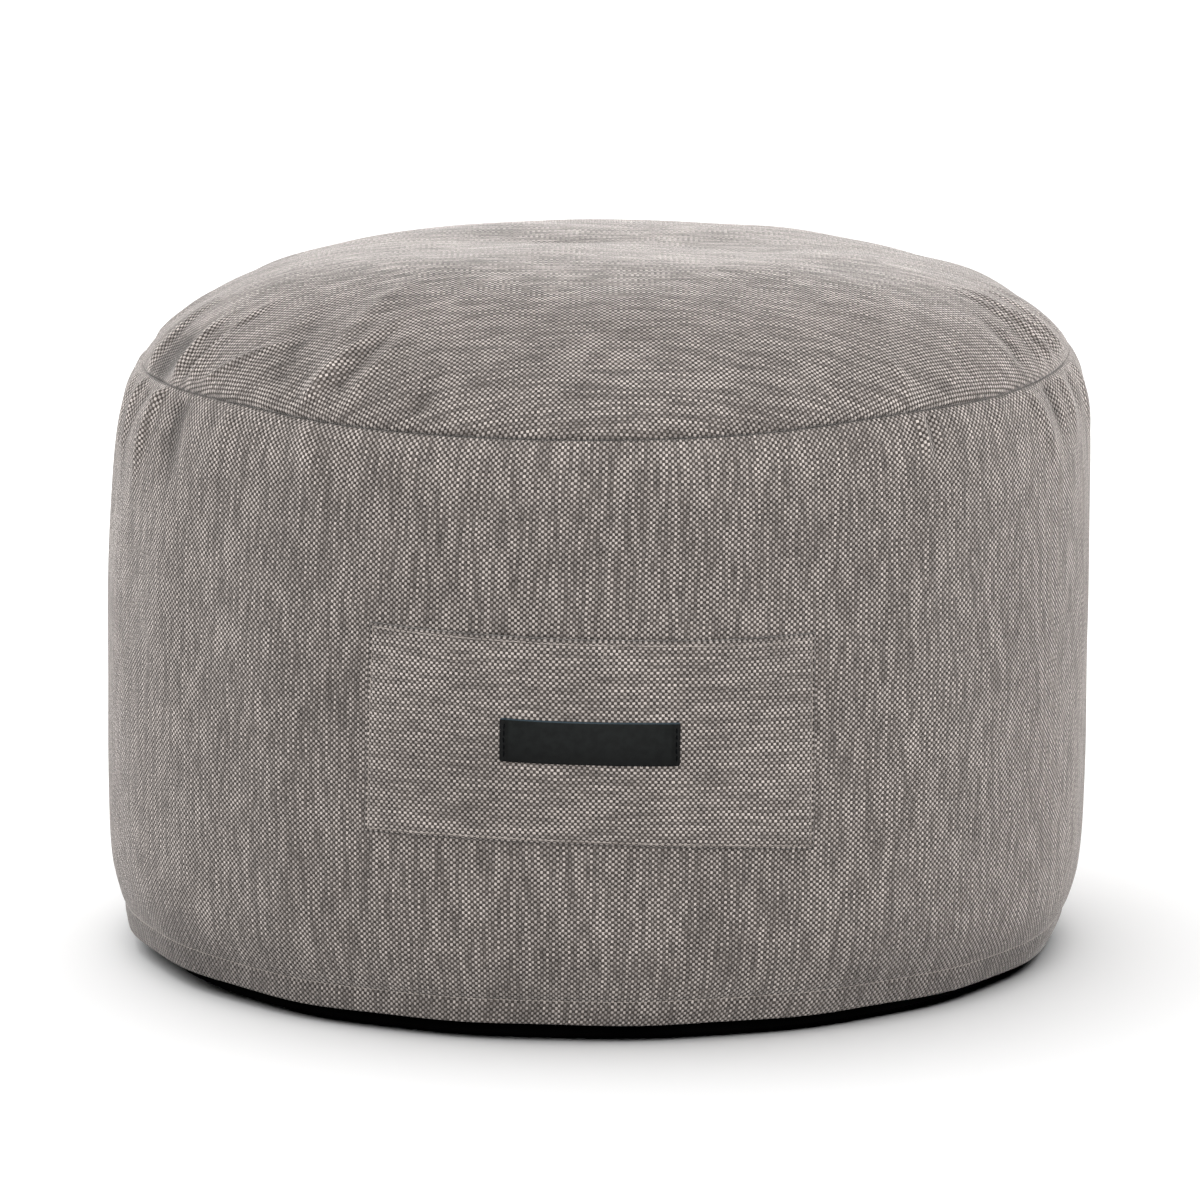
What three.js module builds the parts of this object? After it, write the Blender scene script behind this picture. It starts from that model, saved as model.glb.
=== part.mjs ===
// Round filled footstool in coarse woven cloth: a bulging side wall with a turned-up hem, a domed top panel
// sewn on in a drawn-in seam, a black base panel, and a patch pocket with a blank leather label.
// Millimetres, +Z up. The origin is the centre of the flat base, on the floor, and the front faces -Y.
// An azimuth is in degrees round from the front, positive towards +X.
import * as THREE from "three";

// Driving dimensions
const HEM_HEIGHT = 8.5; // lower edge of the wall above the floor
const WALL_HEIGHT = 294; // hem edge to seam
const SEAM_RADIUS = 236;
const CROWN = { rise: 54, fullness: 0.65, shoulder: 1.25 }; // the last two lift the slope and its outer part
const CLOTH = 2; // thickness of the top panel and the pocket
const GAP = 0.3; // between neighbouring pieces

// The wall's outer radius at heights above the hem edge
const WALL_PROFILE = [
  { height: 0, radius: 238.3 },
  { height: 13, radius: 238.8 },
  { height: 35, radius: 247.2 },
  { height: 74, radius: 247.8 },
  { height: 124, radius: 247.9 },
  { height: 176, radius: 249.7 },
  { height: 224, radius: 248.9 },
  { height: 259, radius: 246.8 },
  { height: 279, radius: 242.9 },
  { height: WALL_HEIGHT, radius: SEAM_RADIUS },
];

// The soft body stands unevenly: it leans to the right, and neither its seam nor its hem is level
const STANCE = { lean: 5.3, seamTilt: 0.0104, hemTilt: -0.0072, crownSkew: -10 };
const SEAM_WAVE = { height: 1.25, turned: 15, fadesFrom: 0.6 };
// The crease at the seam: its angle above level, and how much longer the steep crown is than its plan there
const SEAM = { depth: 2.4, width: 3.2, upward: 32, crownStretch: 1.65 };
const STITCH_LINE = { height: 12.6, depth: 1.1, width: 3 }; // where the hem is sewn down
const HEM_FLUTTER = { height: 0.6, waves: 17, reach: 30 };
const DIMPLE = { x: -20, y: 26, along: 26, across: 13, depth: 1.8 }; // near the middle of the top

// Folds that run from the seam. at is the azimuth at the seam, lean the degrees turned by the fold's far end,
// from and reach its distances from the seam, width its half width, height its relief (negative in a trough).
// The distance is measured down the wall, or in plan across the top.
const TOP_FOLDS = [
  { at: -74.5, lean: -1, from: 0, reach: 21, width: 9, height: -4 },
  { at: -67.5, lean: -2, from: 0, reach: 44, width: 4.5, height: 3 },
  { at: -75, lean: 0, from: 15, reach: 62, width: 6, height: 2.2 },
  { at: -67, lean: 4, from: 5, reach: 56, width: 4.5, height: -2.4 },
  { at: -64.5, lean: 4, from: 0, reach: 46, width: 4.5, height: 2 },
  { at: -63, lean: 22, from: 0, reach: 50, width: 6, height: 2.2 },
  { at: -84, lean: 2, from: 4, reach: 60, width: 7, height: 2 },
  { at: -80, lean: 1, from: 14, reach: 58, width: 5, height: -1.6 },
  { at: -44, lean: -2, from: 4, reach: 64, width: 9, height: -1.4 },
  { at: -38.5, lean: -3, from: 0, reach: 115, width: 6.5, height: 2.2 },
  { at: -35.5, lean: 14, from: 0, reach: 58, width: 6, height: 2 },
  { at: -24, lean: 2, from: 0, reach: 26, width: 8, height: -1.6 },
  { at: 16, lean: -2, from: 20, reach: 95, width: 12, height: 0.9 },
  { at: 44.5, lean: 1, from: 4, reach: 34, width: 6, height: 1.3 },
  { at: 63.5, lean: 2, from: 2, reach: 40, width: 6, height: -2 },
  { at: 70, lean: 5, from: 0, reach: 56, width: 4.5, height: 2.2 },
  { at: 74.5, lean: 9, from: 0, reach: 60, width: 4.5, height: 2.2 },
  { at: 80, lean: 8, from: 0, reach: 60, width: 5, height: 1.8 },
  { at: 108, lean: 5, from: 0, reach: 70, width: 15, height: 2.2 },
  { at: 121, lean: -3, from: 0, reach: 50, width: 14, height: -1.8 },
  { at: 137, lean: -6, from: 0, reach: 90, width: 16, height: 2.4 },
  { at: 158, lean: 3, from: 0, reach: 60, width: 14, height: 1.8 },
  { at: 171, lean: 2, from: 0, reach: 44, width: 14, height: -2 },
  { at: -169, lean: -5, from: 0, reach: 80, width: 15, height: 2.2 },
  { at: -147, lean: 4, from: 0, reach: 58, width: 14, height: 2 },
  { at: -133, lean: 2, from: 0, reach: 40, width: 14, height: -1.8 },
  { at: -118, lean: -5, from: 0, reach: 84, width: 15, height: 2.4 },
  { at: -101, lean: 3, from: 0, reach: 56, width: 14, height: 2 },
];
const WALL_FOLDS = [
  { at: -65.5, lean: -7, from: 0, reach: 62, width: 4.5, height: 3.2 },
  { at: -60.5, lean: -1, from: 2, reach: 42, width: 6.5, height: -2.6 },
  { at: -70.5, lean: -4, from: 2, reach: 40, width: 5, height: -2 },
  { at: -53.5, lean: -4, from: 0, reach: 60, width: 8, height: 1.8 },
  { at: -75.5, lean: -1, from: 0, reach: 58, width: 5, height: 2.2 },
  { at: -84, lean: 2, from: 0, reach: 54, width: 7, height: 1.8 },
  { at: -39, lean: 5, from: 0, reach: 48, width: 8, height: 1.4 },
  { at: -30, lean: 0, from: 3, reach: 34, width: 8, height: -1 },
  { at: -2, lean: 1, from: 2, reach: 30, width: 14, height: -0.8 },
  { at: 40.4, lean: -0.5, from: 0, reach: 34, width: 5, height: -2.4 },
  { at: 43.5, lean: -0.5, from: 0, reach: 36, width: 5, height: 1.4 },
  { at: 62, lean: 6, from: 0, reach: 52, width: 6, height: 2 },
  { at: 67.5, lean: 2, from: 0, reach: 38, width: 5.5, height: -2.4 },
  { at: 72.5, lean: 2, from: 0, reach: 40, width: 5, height: 2.2 },
  { at: 77, lean: 1, from: 2, reach: 32, width: 5, height: -1.8 },
  { at: 82, lean: 2, from: 0, reach: 54, width: 6, height: 2 },
  { at: 104, lean: 3, from: 0, reach: 60, width: 14, height: 2.2 },
  { at: 116, lean: 1, from: 0, reach: 42, width: 13, height: -2 },
  { at: 139, lean: -4, from: 0, reach: 72, width: 15, height: 2.4 },
  { at: 162, lean: 2, from: 0, reach: 56, width: 14, height: 1.8 },
  { at: 175, lean: 1, from: 0, reach: 40, width: 14, height: -2 },
  { at: -166, lean: -3, from: 0, reach: 66, width: 15, height: 2.2 },
  { at: -145, lean: 2, from: 0, reach: 50, width: 14, height: 1.8 },
  { at: -131, lean: 0, from: 0, reach: 38, width: 13, height: -2 },
  { at: -115, lean: -3, from: 0, reach: 70, width: 14, height: 2.4 },
  { at: -99, lean: 2, from: 0, reach: 50, width: 13, height: 1.8 },
];
const FOLD_START = 6; // a fold grows to its full relief over this distance
const FOLD_FADE = 0.4; // and fades out from this share of its reach

const BASE = { flatRadius: 222, thickness: 2.4, rimInset: 1.2 };

// The pocket, by azimuths and by heights above the hem edge. From the middle to the right end its mouth and
// foot drop by their slopes, and its foot is wider by the flare, in degrees, on each side.
const POCKET = {
  middle: -1.05,
  halfWidth: 25.7,
  flare: 0.4,
  mouth: { height: 197.5, slope: 3 },
  foot: { height: 94.1, slope: 4, bow: 3.1 },
  slack: { depth: 6.9, fullness: 2.6 }, // how far its mouth stands off the wall in the middle
  hem: { width: 9, extra: 0.5 },
};
const LABEL = { halfWidth: 44.5, height: 21, thickness: 1.4, middle: 143.2, slope: 1 };

// Even steps of azimuth, closer where the folds are narrow
const SECTORS = [
  { from: -90, to: -80, steps: 4 },
  { from: -80, to: -56, steps: 16 },
  { from: -56, to: -24, steps: 12 },
  { from: -24, to: 36, steps: 10 },
  { from: 36, to: 48, steps: 6 },
  { from: 48, to: 62, steps: 4 },
  { from: 62, to: 90, steps: 14 },
  { from: 90, to: 270, steps: 30 },
];
// Rows by height above the hem edge, and by distance in from the seam
const WALL_ROWS = [
  0, 6, 10.6, 12.6, 15, 21, 28, 37, 62, 92, 120, 148, 178, 206, 230, 247, 260, 270, 278, 285, 290, 292.6,
];
const TOP_ROWS = [0, 1, 2.8, 6, 11, 18, 27, 39, 56, 80, 112, 156, 200];
const UNDER_ROWS = [0, 1.4, 5, 12, 22, 36, 60, 100, 156, 200];
const BASE_STEPS = 4;
const POCKET_GRID = { across: 26, down: 12 };
const LABEL_GRID = { across: 14, down: 2 };

const COLOURS = { cloth: 0x857c77, base: 0x101112, leather: 0x1d2021 };
const ROUGHNESS = { cloth: 0.95, leather: 0.5 };

const NORMAL_STEP = 0.4; // millimetres or degrees between the points that give a face's normal

const { degToRad, euclideanModulo, lerp, smoothstep } = THREE.MathUtils;

// Cubic curve through a table's rows
function radiusAt(rows, height) {
  const last = rows.length - 1;
  let i = 0;
  while (i < last - 1 && height > rows[i + 1].height) i += 1;
  const slopeAt = (k) => {
    const below = rows[Math.max(k - 1, 0)];
    const above = rows[Math.min(k + 1, last)];
    return (above.radius - below.radius) / (above.height - below.height);
  };
  const span = rows[i + 1].height - rows[i].height;
  const t = (height - rows[i].height) / span;
  const rest = 1 - t;
  const ends = rows[i].radius * rest ** 2 * (1 + 2 * t) + rows[i + 1].radius * t ** 2 * (3 - 2 * t);
  return ends + span * t * rest * (slopeAt(i) * rest - slopeAt(i + 1) * t);
}

function bell(distance, width) {
  return Math.exp(-((distance / width) ** 2));
}

// Relief of all folds at an azimuth and a distance from the seam, on a ring of the given radius
function foldRelief(folds, azimuth, distance, radius) {
  return folds.reduce((sum, fold) => {
    const centre = fold.at + (fold.lean * distance) / fold.reach;
    const turn = euclideanModulo(azimuth - centre + 180, 360) - 180;
    const grown = smoothstep(distance, fold.from, fold.from + FOLD_START);
    const left = 1 - smoothstep(distance, FOLD_FADE * fold.reach, fold.reach);
    return sum + fold.height * bell(degToRad(turn) * radius, fold.width) * grown * left;
  }, 0);
}

// A point of the leaning, tilted body. level is 0 at the hem and 1 from the seam up.
function stand(azimuth, radius, height, level, seamShare) {
  const turn = degToRad(azimuth);
  const x = STANCE.lean * level ** 2 + radius * Math.sin(turn);
  const y = -radius * Math.cos(turn);
  const tilt = lerp(STANCE.hemTilt, STANCE.seamTilt, level) * x;
  const wave = -SEAM_WAVE.height * seamShare * Math.cos(2 * degToRad(azimuth - SEAM_WAVE.turned));
  return new THREE.Vector3(x, y, HEM_HEIGHT + height + tilt + wave);
}

// How far the seam draws in a point at a distance from it, as a radius and a height
function creaseAt(distance) {
  const pull = -SEAM.depth * Math.exp(-distance / SEAM.width);
  return { radius: pull * Math.cos(degToRad(SEAM.upward)), height: pull * Math.sin(degToRad(SEAM.upward)) };
}

// The wall's outer face at a height above the hem edge
function wallPoint(azimuth, height) {
  const radius = radiusAt(WALL_PROFILE, height);
  const slope = radiusAt(WALL_PROFILE, height + 1) - radius;
  const facing = new THREE.Vector2(1, -slope).normalize();
  const stitch = STITCH_LINE.depth * bell(height - STITCH_LINE.height, STITCH_LINE.width);
  const waving = Math.sin(HEM_FLUTTER.waves * degToRad(azimuth));
  const flutter = HEM_FLUTTER.height * waving * (1 - smoothstep(height, 0, HEM_FLUTTER.reach));
  const folds = foldRelief(WALL_FOLDS, azimuth, WALL_HEIGHT - height, radius);
  const relief = folds - stitch + flutter;
  const crease = creaseAt(WALL_HEIGHT - height);
  const level = height / WALL_HEIGHT;
  return stand(
    azimuth,
    radius + relief * facing.x + crease.radius,
    height + relief * facing.y + crease.height,
    level,
    smoothstep(level, SEAM_WAVE.fadesFrom, 1),
  );
}

// Height of the plain crown over the seam, at a distance in from it
function crownHeight(inset) {
  const share = 1 - inset / SEAM_RADIUS;
  return CROWN.rise * (1 - share ** 2) * (1 + CROWN.fullness * share ** 2 + CROWN.shoulder * share ** 6);
}

// The top panel's outer face at a distance in from the seam, in plan
function crownPoint(azimuth, inset) {
  const share = 1 - inset / SEAM_RADIUS;
  const radius = SEAM_RADIUS - inset;
  const across = radius * Math.sin(degToRad(azimuth));
  const depth = -radius * Math.cos(degToRad(azimuth));
  const slope = crownHeight(inset + 1) - crownHeight(inset);
  const facing = new THREE.Vector2(slope, 1).normalize();
  const dimple = DIMPLE.depth * bell(across - DIMPLE.x, DIMPLE.along) * bell(depth - DIMPLE.y, DIMPLE.across);
  const relief = foldRelief(TOP_FOLDS, azimuth, inset, radius) - dimple;
  const crease = creaseAt(inset * SEAM.crownStretch);
  const skew = (STANCE.crownSkew * (1 - share) * across) / SEAM_RADIUS;
  return stand(
    azimuth,
    radius + relief * facing.x + crease.radius,
    WALL_HEIGHT + crownHeight(inset) + relief * facing.y + crease.height + skew,
    1,
    share ** 3,
  );
}

// A point at a depth under a face, square to it
function under(face, azimuth, along, depth) {
  const point = face(azimuth, along);
  const round = face(azimuth + NORMAL_STEP, along).sub(face(azimuth - NORMAL_STEP, along));
  const up = face(azimuth, along + NORMAL_STEP).sub(point);
  return point.addScaledVector(round.cross(up).normalize(), -depth);
}

// A point just past the top panel's rim, at a depth under its face
function pastRim(azimuth, depth) {
  const outward = crownPoint(azimuth, 0).sub(crownPoint(azimuth, NORMAL_STEP));
  return under(crownPoint, azimuth, 0, depth).add(outward.setLength(GAP));
}

function meshOf(name, points, faces, color, roughness) {
  const geometry = new THREE.BufferGeometry();
  geometry.setAttribute("position", new THREE.Float32BufferAttribute(points.flatMap((p) => p.toArray()), 3));
  geometry.setIndex(faces.flat());
  geometry.computeVertexNormals();
  const mesh = new THREE.Mesh(geometry, new THREE.MeshStandardMaterial({ color, roughness, metalness: 0 }));
  mesh.name = name;
  return mesh;
}

// A closed body from rings that run from a lower pole outwards and round to an upper pole. slant 0 or 1 turns
// its diagonals, so that faces which lie along each other, built in opposite orders, split the same way.
function ringBody(name, lowPole, rings, highPole, color, slant) {
  const count = rings[0].length;
  const points = [lowPole, ...rings.flat(), highPole];
  const last = rings.length - 1;
  const top = points.length - 1;
  const at = (ring, k) => 1 + ring * count + (k % count);
  const faces = [];
  for (let k = 0; k < count; k += 1) {
    faces.push([0, at(0, k + 1), at(0, k)]);
    faces.push([top, at(last, k), at(last, k + 1)]);
    for (let ring = 0; ring < last; ring += 1) {
      faces.push([at(ring, k), at(ring, k + 1), at(ring + 1, k + 1 - slant)]);
      faces.push([at(ring, k + slant), at(ring + 1, k + 1), at(ring + 1, k)]);
    }
  }
  return meshOf(name, points, faces, color, ROUGHNESS.cloth);
}

// A closed sheet between two faces, each given by u from -1 to 1 across and v from 0 down to 1
function sheetBody(name, { across, down }, outer, inner, color, roughness) {
  const points = [];
  for (const face of [outer, inner])
    for (let j = 0; j <= down; j += 1)
      for (let i = 0; i <= across; i += 1) points.push(face(lerp(-1, 1, i / across), j / down));
  const back = (across + 1) * (down + 1);
  const at = (i, j) => j * (across + 1) + i;
  const faces = [];
  const quad = (a, b, c, d) => faces.push([a, b, c], [a, c, d]);
  for (let j = 0; j < down; j += 1)
    for (let i = 0; i < across; i += 1) {
      quad(at(i, j), at(i, j + 1), at(i + 1, j + 1), at(i + 1, j));
      quad(back + at(i, j), back + at(i + 1, j), back + at(i + 1, j + 1), back + at(i, j + 1));
    }
  for (let i = 0; i < across; i += 1) {
    quad(at(i, 0), at(i + 1, 0), back + at(i + 1, 0), back + at(i, 0));
    quad(at(i + 1, down), at(i, down), back + at(i, down), back + at(i + 1, down));
  }
  for (let j = 0; j < down; j += 1) {
    quad(at(0, j + 1), at(0, j), back + at(0, j), back + at(0, j + 1));
    quad(at(across, j), at(across, j + 1), back + at(across, j + 1), back + at(across, j));
  }
  return meshOf(name, points, faces, color, roughness);
}

const AZIMUTHS = SECTORS.flatMap(({ from, to, steps }) =>
  Array.from({ length: steps }, (_, k) => lerp(from, to, k / steps)),
);

// Rings from the flat base up its turned rim, an inset inside its outer face
function baseRings(inset) {
  return Array.from({ length: BASE_STEPS + 1 }, (_, k) => {
    const quarter = ((k / BASE_STEPS) * Math.PI) / 2;
    return AZIMUTHS.map((azimuth) => {
      const hem = wallPoint(azimuth, 0);
      const turn = Math.atan2(hem.x, -hem.y);
      const rimHeight = hem.z - GAP + Math.max(inset - BASE.thickness, 0);
      const rimRadius = Math.hypot(hem.x, hem.y) - BASE.rimInset - inset;
      const radius = lerp(BASE.flatRadius, rimRadius, Math.sin(quarter));
      const height = lerp(inset, rimHeight, 1 - Math.cos(quarter));
      return new THREE.Vector3(radius * Math.sin(turn), -radius * Math.cos(turn), height);
    });
  });
}

function basePanel() {
  const rings = [...baseRings(0), ...baseRings(BASE.thickness).reverse()];
  const high = new THREE.Vector3(0, 0, BASE.thickness);
  return ringBody("base_panel", new THREE.Vector3(), rings, high, COLOURS.base, 1);
}

function sideWall() {
  const floor = BASE.thickness + GAP;
  const cover = CLOTH + GAP;
  const wall = WALL_ROWS.map((height) => AZIMUTHS.map((azimuth) => wallPoint(azimuth, height)));
  const lip = [0, cover].map((depth) => AZIMUTHS.map((azimuth) => pastRim(azimuth, depth)));
  const filling = UNDER_ROWS.slice(1).map((inset) =>
    AZIMUTHS.map((azimuth) => under(crownPoint, azimuth, inset, cover)),
  );
  const rings = [...baseRings(floor), ...wall, ...lip, ...filling];
  const crest = crownPoint(0, SEAM_RADIUS).sub(new THREE.Vector3(0, 0, cover));
  return ringBody("side_wall", new THREE.Vector3(0, 0, floor), rings, crest, COLOURS.cloth, 0);
}

function topPanel() {
  const outside = TOP_ROWS.map((inset) => AZIMUTHS.map((azimuth) => crownPoint(azimuth, inset)));
  const inside = UNDER_ROWS.map((inset) =>
    AZIMUTHS.map((azimuth) => under(crownPoint, azimuth, inset, CLOTH)),
  );
  const crest = crownPoint(0, SEAM_RADIUS);
  const low = crest.clone().sub(new THREE.Vector3(0, 0, CLOTH));
  return ringBody("top_panel", low, [...inside.reverse(), ...outside], crest, COLOURS.cloth, 1);
}

function mouthHeight(u) {
  return POCKET.mouth.height - POCKET.mouth.slope * u;
}

function footHeight(u) {
  return POCKET.foot.height - POCKET.foot.slope * u - POCKET.foot.bow * u ** 2;
}

// A place on the pocket's back, and others standing further off it
function pocketPoint(u, v, standOff) {
  const { depth, fullness } = POCKET.slack;
  const slack = depth * (1 - v ** fullness) * (1 - Math.abs(u) ** fullness);
  const azimuth = POCKET.middle + u * (POCKET.halfWidth + POCKET.flare * v);
  return under(wallPoint, azimuth, lerp(mouthHeight(u), footHeight(u), v), -(GAP + slack + standOff));
}

function sidePocket() {
  const hemShare = POCKET.hem.width / (POCKET.mouth.height - POCKET.foot.height);
  const doubled = (v) => POCKET.hem.extra * (1 - smoothstep(v, hemShare, hemShare + 1 / POCKET_GRID.down));
  const outer = (u, v) => pocketPoint(u, v, CLOTH + doubled(v));
  const inner = (u, v) => pocketPoint(u, v, 0);
  return sheetBody("side_pocket", POCKET_GRID, outer, inner, COLOURS.cloth, ROUGHNESS.cloth);
}

// The label follows the pocket's outer face, and is centred across it
function labelTab() {
  const pocketHalf = degToRad(POCKET.halfWidth) * radiusAt(WALL_PROFILE, LABEL.middle);
  const face = (standOff) => (u, v) => {
    const across = (u * LABEL.halfWidth) / pocketHalf;
    const height = LABEL.middle - LABEL.slope * u + LABEL.height * (0.5 - v);
    const down = (mouthHeight(across) - height) / (mouthHeight(across) - footHeight(across));
    return pocketPoint(across, down, CLOTH + GAP + standOff);
  };
  const outer = face(LABEL.thickness);
  return sheetBody("label_tab", LABEL_GRID, outer, face(0), COLOURS.leather, ROUGHNESS.leather);
}

const footstool = new THREE.Group();
footstool.add(basePanel(), sideWall(), topPanel(), sidePocket(), labelTab());

export default footstool;
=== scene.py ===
"""Round footstool in coarse woven cloth with a pocket and a leather label, dressed around its solids."""

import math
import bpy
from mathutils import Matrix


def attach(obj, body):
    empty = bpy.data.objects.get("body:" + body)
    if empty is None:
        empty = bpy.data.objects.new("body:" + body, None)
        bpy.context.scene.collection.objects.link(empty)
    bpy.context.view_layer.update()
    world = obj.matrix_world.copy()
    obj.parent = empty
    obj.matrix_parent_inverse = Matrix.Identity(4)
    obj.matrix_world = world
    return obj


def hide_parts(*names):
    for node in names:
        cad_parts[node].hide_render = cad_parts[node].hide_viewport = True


bl_info = {
    "name": "Round cloth footstool",
    "version": (1, 0, 0),
    "blender": (4, 5, 0),
    "location": "View3D > Sidebar > Footstool",
    "description": "Builds a round footstool in coarse woven cloth, with a patch pocket and a leather label",
    "category": "Add Mesh",
}

from collections import namedtuple

import bpy
import numpy as np
from mathutils import Vector

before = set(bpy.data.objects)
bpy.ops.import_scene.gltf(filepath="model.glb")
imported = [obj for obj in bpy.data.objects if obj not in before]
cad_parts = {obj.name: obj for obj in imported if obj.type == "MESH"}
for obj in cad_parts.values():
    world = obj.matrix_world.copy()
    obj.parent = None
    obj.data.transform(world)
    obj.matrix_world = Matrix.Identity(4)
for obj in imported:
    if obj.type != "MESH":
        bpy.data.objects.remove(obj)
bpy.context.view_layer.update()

MM = 0.001  # the tables are in millimetres and degrees, and everything else in metres

# The wall's outer radius at heights above the hem edge, in millimetres
WALL_PROFILE = (
    (0, 237.8),
    (13, 241.8),
    (35, 247.6),
    (74, 249.6),
    (124, 250.2),
    (176, 250.4),
    (224, 248.9),
    (259, 246.8),
    (279, 242.9),
    (294, 236.0),
)
CROWN_FULLNESS = 0.94  # lifts the slope between the middle of the top and its shoulder
CROWN_SHOULDER = 0.65  # lifts the shoulder beside the seam

# In front the filling pushes out a higher and squarer shoulder
FRONT_LIFT = 9 * MM
FRONT_SQUARENESS = 3.83
FRONT_ROUNDING = 0.75
FRONT_GROWTH = (-0.2, 0.42)  # grows between these distances in front of the middle, as shares of the radius

# The soft body stands unevenly: it leans to the right, and neither its seam nor its hem is level
LEAN = 5.3 * MM
HEM_SHIFT = -2 * MM
HEM_SHIFT_FADE = 24  # high, so that only the foot of the wall is shifted
HEM_DIPS = ((-35, 16, 1 * MM), (64, 18, 1.3 * MM))  # azimuth, width in degrees and depth
HEM_DIP_REACH = 0.35  # share of the wall's height
SEAM_TILT = 0.0104  # rise to the right
HEM_TILT = -0.0072
CROWN_SKEW = -9.4 * MM  # rise of the crown to the right, from the seam to the middle
SEAM_WAVE = 1.25 * MM  # two waves round the seam
SEAM_WAVE_TURN = 15  # azimuth of one of their low places
SEAM_WAVE_START = 0.6  # share of the wall's height from which the wall follows them
SEAM_RISES = ((-51, 15, 2.2 * MM), (37, 14, 2.4 * MM), (-88, 15, -1.5 * MM))  # azimuth, width and height

# The seam draws the cloth in by a wide roll and a narrow groove: depth and width of each
SEAM_ROLL = (1.5 * MM, 5.0 * MM)
SEAM_GROOVE = (1.3 * MM, 0.9 * MM)
SEAM_PULL_ANGLE = 32  # above level
SEAM_EASES = ((0.65, 92, 26), (0.65, -92, 26), (0.8, -67, 2.4))  # it draws in less: share, azimuth, width

HEM_STITCH_HEIGHT = 12.6 * MM
HEM_STITCH_ROLL = (0.8 * MM, 3.2 * MM)
HEM_STITCH_GROOVE = (0.45 * MM, 0.8 * MM)
HEM_FLUTTER = (0.6 * MM, 17, 30 * MM)  # height, waves round the hem, reach up the wall
HEM_EDGE = 1.1 * MM  # radius of the wall's lower edge

Dimple = namedtuple("Dimple", "x y along across depth")
DIMPLE = Dimple(-20, 26, 26, 13, 1.8)  # near the middle of the top

# A fold runs from the seam. at is its azimuth there, lean the degrees turned by its far end, start and reach
# are distances from the seam, width is its half width, and height its relief, negative in a trough. With a
# start below 0 it has some relief in the seam itself.
Fold = namedtuple("Fold", "at lean start reach width height")
TOP_FOLDS = (
    (-73.5, 1, -3, 26, 17, -4.6),
    (-79.5, 0.5, 0, 50, 4, 2.2),
    (-67, -0.5, 0, 40, 3.6, 3),
    (-64.5, 4, 0, 42, 4, -2.4),
    (-62.5, 1, 0, 60, 3.6, 2.2),
    (-59.5, 14, 0, 34, 3.6, 1.9),
    (-84, 2, 4, 60, 6, 1),
    (-45, -4, 4, 70, 9, -2),
    (-38.5, -3, 0, 115, 6.5, 1.6),
    (-39.8, 6, 0, 58, 3.6, 1.9),
    (-36.4, 5, 6, 60, 4, -1.8),
    (-33.5, 4, 0, 48, 3.8, 1.9),
    (-24, 2, 0, 26, 6, -1.6),
    (-4, 4, 0, 40, 14, -0.8),
    (16, -2, 20, 95, 12, 0.9),
    (40, 0, 0, 26, 3, 1.4),
    (45, 1, 4, 34, 6, 0.8),
    (64, 2, 2, 44, 5, -1.6),
    (69.6, 4, 0, 68, 3.6, 2.1),
    (73, 4, 0, 62, 3.6, 2.1),
    (77.6, -1.5, 0, 54, 3.4, 2),
    (80, 6, 0, 58, 3.8, 2),
    (88, 8, 2, 62, 6, 1.2),
    (108, 5, 0, 70, 13, 1.3),
    (121, -3, 0, 50, 11, -1.3),
    (137, -6, 0, 60, 14, 1.4),
    (158, 3, 0, 50, 13, 1.4),
    (171, 2, 0, 44, 12, -1),
    (-169, -5, 0, 80, 14, 2.2),
    (-147, 4, 0, 58, 13, 2),
    (-133, 2, 0, 40, 11, -1.2),
    (-118, -5, 0, 84, 13, 1.5),
    (-101, 3, 0, 56, 11, 1),
)
WALL_FOLDS = (
    (-68, -4, 0, 62, 4.2, 3.2),
    (-62, 1, 2, 60, 11, -2.8),
    (-72.5, -4, 2, 40, 4, -1.2),
    (-50, -4, 0, 50, 9, 0.9),
    (-77, -1, 0, 58, 4, 2.2),
    (-84, 2, 0, 54, 7, 1.8),
    (-39, 5, 0, 48, 8, 1.4),
    (-30, 0, 3, 34, 7, -1),
    (-2, 1, 2, 30, 12, -0.8),
    (40.3, 0.4, 0, 32, 2.6, 2.2),
    (41.9, 0, 0, 30, 2.8, -1.8),
    (62, 6, 0, 52, 6, 2),
    (67.5, 2, 0, 38, 5.5, -2.4),
    (72.5, 2, 0, 40, 5, 2.2),
    (77, 1, 2, 32, 5, -1.8),
    (82, 2, 0, 54, 6, 2),
    (104, 3, 0, 60, 12, 2.2),
    (116, 1, 0, 42, 11, -1.4),
    (139, -4, 0, 72, 13, 2.4),
    (162, 2, 0, 56, 12, 1.8),
    (175, 1, 0, 40, 12, -1.1),
    (-166, -3, 0, 66, 13, 2.2),
    (-145, 2, 0, 50, 12, 1.8),
    (-131, 0, 0, 38, 11, -1.4),
    (-115, -3, 0, 70, 12, 2.4),
    (-99, 2, 0, 50, 10, 1.8),
)
FOLD_START = 6 * MM  # a fold grows to its full relief over this distance
FOLD_FADE = 0.4  # and fades out from this share of its reach

PUCKERS = 64  # small ones along each side of the seam, lower in front
PUCKER_SEEDS = {"wall": 11, "top": 23}
PUCKER_DRIFT = 0.4  # share of the distance between two
PUCKER_WIDTH = (3, 6)
PUCKER_HEIGHT = (0.3, 0.8)
PUCKER_LEAN = (-3, 3)
PUCKER_REACH = (14, 38)
FRONT_PUCKERS = (0.6, 45)  # how much lower in front, and how far round
UNEVEN_SEEDS = {"wall": 5, "top": 9}
UNEVEN = {"wall": 0.45 * MM, "top": 0.75 * MM}  # height of the broad unevenness
UNEVEN_FROM_SEAM = {"wall": 30 * MM, "top": 40 * MM}  # it grows to that over this distance
UNEVEN_FROM_HEM = 60 * MM
UNEVEN_WAVES = 14
WALL_WAVES = (3, 26)  # waves round the wall
WALL_SLANT = 40  # radians per metre of height
TOP_WAVES = (0.035, 0.12)  # wave lengths

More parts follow.
